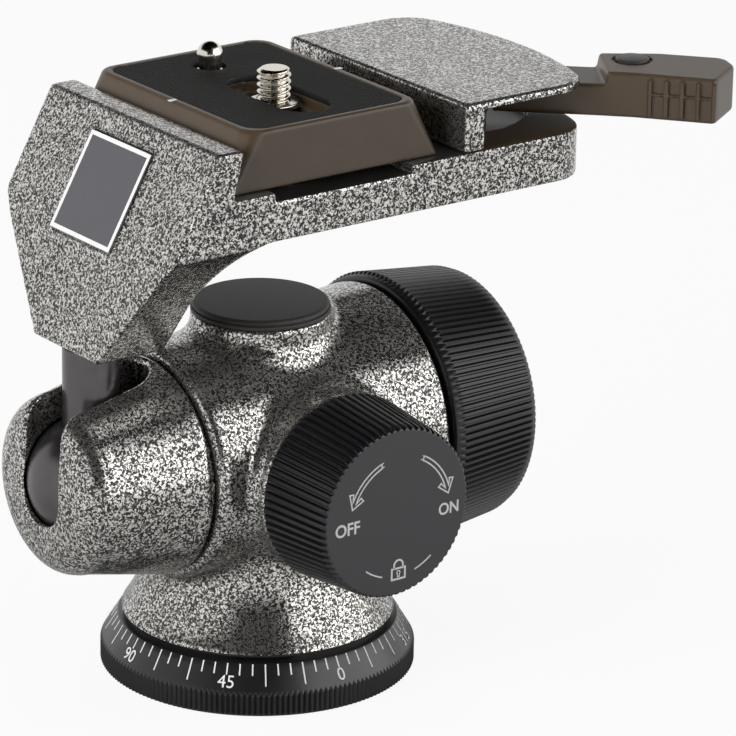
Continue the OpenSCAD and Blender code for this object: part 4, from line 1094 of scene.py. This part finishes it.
def plate_field(x, y, z):
    share = np.clip((z - PLATE_Z) / (PLATE_TOP - PLATE_Z), 0, 1)
    corner = PLATE_FOOT_ROUND + (PLATE_ROUND - PLATE_FOOT_ROUND) * share
    block = meet(meet(plate_plan(x, y, z, 0, corner) * 0.95, z - PLATE_TOP, 0.7), PLATE_Z - z, 0.5)
    from_pin = off_axis(x - PLATE_MID, y - PIN_Y)
    tray = plate_plan(x, y, PLATE_TOP + 0 * z, PAD_INSET, PAD_ROUND)
    holes = (np.maximum(tray, PLATE_TOP - PAD_T - z), recess(x, y, SCREW_SLOT_R),
             np.maximum(recess(x, y, RECESS_R), RECESS_Z - z),
             np.maximum(recess(x, y, HEAD_RECESS_R), z - PLATE_Z - HEAD_RECESS_H), from_pin - PIN_R - 0.05,
             np.maximum(from_pin - SPRING_R, np.abs(z - SPRING_MID) - SPRING_HALF))
    return cut(block, holes, 0.2)


carve("release_plate", plate_field, (-26.5, -26.5, 102), (23.5, 26.5, 115.2), PLATE_STEP, polymer, "plate",
      "plate", "polymer")

# Index marks
# Two short white lines on the plate's rims, at its middle, to set the camera by.
INDEX_HALF, INDEX_SUNK, INDEX_DEEP = 0.45, 0.12, 0.14
INDEX_ENDS = (-20.9, -19.35), (16.35, 17.9)

prints = [(np.array([(x1, -INDEX_HALF), (x2, -INDEX_HALF), (x2, INDEX_HALF), (x1, INDEX_HALF)]),
           [(0, 1, 2, 3)]) for x1, x2 in INDEX_ENDS]
points, faces = solid_print(prints)
points[:, 2] = PLATE_TOP - INDEX_SUNK + points[:, 2] * INDEX_DEEP
piece("index_marks", points, faces, paint, "plate", slot="polymer")

# Rubber pad
# Black rubber in the plate's tray with fine ribs, 0.8 mm apart, that grip the camera's base.
PAD_RIB = 0.8
RIB_RISE = 0.16
PAD_STEP = 0.2

# Soft rubber: black and matt, a little dusty in patches.
rubber = mottled("ribbed_black_rubber", {"IOR": 1.52}, 0.6, 5, "#111110", "#1f1e1d", gloss=(0.55, 0.75))


def pad_field(x, y, z):
    wave = 0.5 - 0.5 * np.cos(2 * math.pi * (x - PLATE_MID) / PAD_RIB)
    top = (z - PLATE_TOP + RIB_RISE * wave) * 0.8
    plan = plate_plan(x, y, PLATE_TOP + 0 * z, PAD_INSET + 0.05, PAD_ROUND)
    sheet = meet(np.maximum(plan, PLATE_TOP - PAD_T - z), top, 0.15)
    from_pin = off_axis(x - PLATE_MID, y - PIN_Y)
    return meet(sheet, -np.minimum(recess(x, y, RECESS_R), from_pin - PIN_R - 0.7), 0.2)


carve("grip_pad", pad_field, (-20, -24.5, 112.4), (17, 24.5, 114.6), PAD_STEP, rubber, "plate", "plate_pad",
      "pad", sharp=60)

# Camera screw, its clip and the anti-twist pin
# Turned steel, nickel plated: a 1/4 inch thread with a bevelled tip and a coin slot in the head below,
# a washer that slides with it, and a spring pin with a round head.
THREAD_R, THREAD_PITCH, THREAD_CUT = 3.175, 1.27, 0.62
SCREW_TOP, SHANK_TOP = 118.65, 111.0
HEAD_R, HEAD_LOW, HEAD_TOP = 6.6, 103.45, 106.05
COIN_HALF, COIN_DEEP = 0.7, 1.8
WASHER_IN, WASHER_OUT, WASHER_LOW, WASHER_TOP = 3.225, 4.8, RECESS_Z + 0.1, RECESS_Z + 1.1
PIN_FOOT, PIN_TOP, PIN_NECK_R = PLATE_Z + 2.6, PLATE_TOP + 4.6, 2.2
FLANGE_R, FLANGE_LOW, FLANGE_TOP = PIN_R + 0.8, PLATE_TOP - 4.2, PLATE_TOP - 3.2
SCREW_STEP = 0.16

# Bright nickel plate: warm silver, glossy, with faint wear.
nickel = mottled("bright_nickel_plate", {"Metallic": 1.0}, 0.8, 4, "#cfc8bb", "#e2ddd3", gloss=(0.12, 0.26))


def screw_field(x, y, z):
    u, v = x - PLATE_MID, y - SCREW_Y
    radius = off_axis(u, v)
    turns = z / THREAD_PITCH - np.arctan2(v, u) / (2 * math.pi)
    wave = np.abs(turns - np.floor(turns) - 0.5) * 2
    valley = THREAD_CUT * np.clip((wave - 0.12) / 0.76, 0, 1)
    thread = meet((radius - THREAD_R + valley) * 0.72, SHANK_TOP - 0.5 - z, 0.1)
    tip = (radius - THREAD_R + 0.45 + (z - SCREW_TOP) * 0.8) * 0.75
    thread = meet(meet(thread, tip, 0.2), z - SCREW_TOP, 0.3)
    shank = np.maximum(np.maximum(radius - THREAD_R + THREAD_CUT, z - SHANK_TOP), HEAD_LOW - z)
    head = meet(meet(radius - HEAD_R, z - HEAD_TOP, 0.3), HEAD_LOW - z, 0.5)
    coin = np.maximum(np.abs(v) - COIN_HALF, z - PLATE_Z - COIN_DEEP)
    return meet(np.minimum(np.minimum(thread, shank), head), -coin, 0.15)


corner = np.array([PLATE_MID, SCREW_Y, 0])
carve("quarter_inch_screw", screw_field, corner + (-7.2, -7.2, 103), corner + (7.2, 7.2, 119.2), SCREW_STEP,
      nickel, "camera_screw", "camera_screw", "nickel", sharp=45)
profile = rounded([(WASHER_IN, WASHER_LOW), (WASHER_OUT, WASHER_LOW), (WASHER_OUT, WASHER_TOP),
                   (WASHER_IN, WASHER_TOP)], [0.15, 0.3])
piece("screw_washer", stacked(profile, full_turn(96)) + corner, band_faces(len(profile), 96, closed=True),
      nickel, "screw_clip", "screw_clip", "nickel")
ball_z = PIN_TOP - PIN_R
dome = [(PIN_R * math.cos(a), ball_z + PIN_R * math.sin(a))
        for a in np.linspace(-math.acos(PIN_NECK_R / PIN_R), math.pi / 2, 18)]
dome[-1] = (0, PIN_TOP)
profile = [(0, PIN_FOOT), (PIN_R, PIN_FOOT), (PIN_R, FLANGE_LOW), (FLANGE_R, FLANGE_LOW),
           (FLANGE_R, FLANGE_TOP), (PIN_R, FLANGE_TOP), (PIN_R, PLATE_TOP - 0.6),
           (PIN_NECK_R, PLATE_TOP - 0.4)] + dome
piece("anti_twist_pin", *turned(profile, 72, (PLATE_MID, PIN_Y, 0)), nickel, "twist_pin", "twist_pin",
      "nickel")
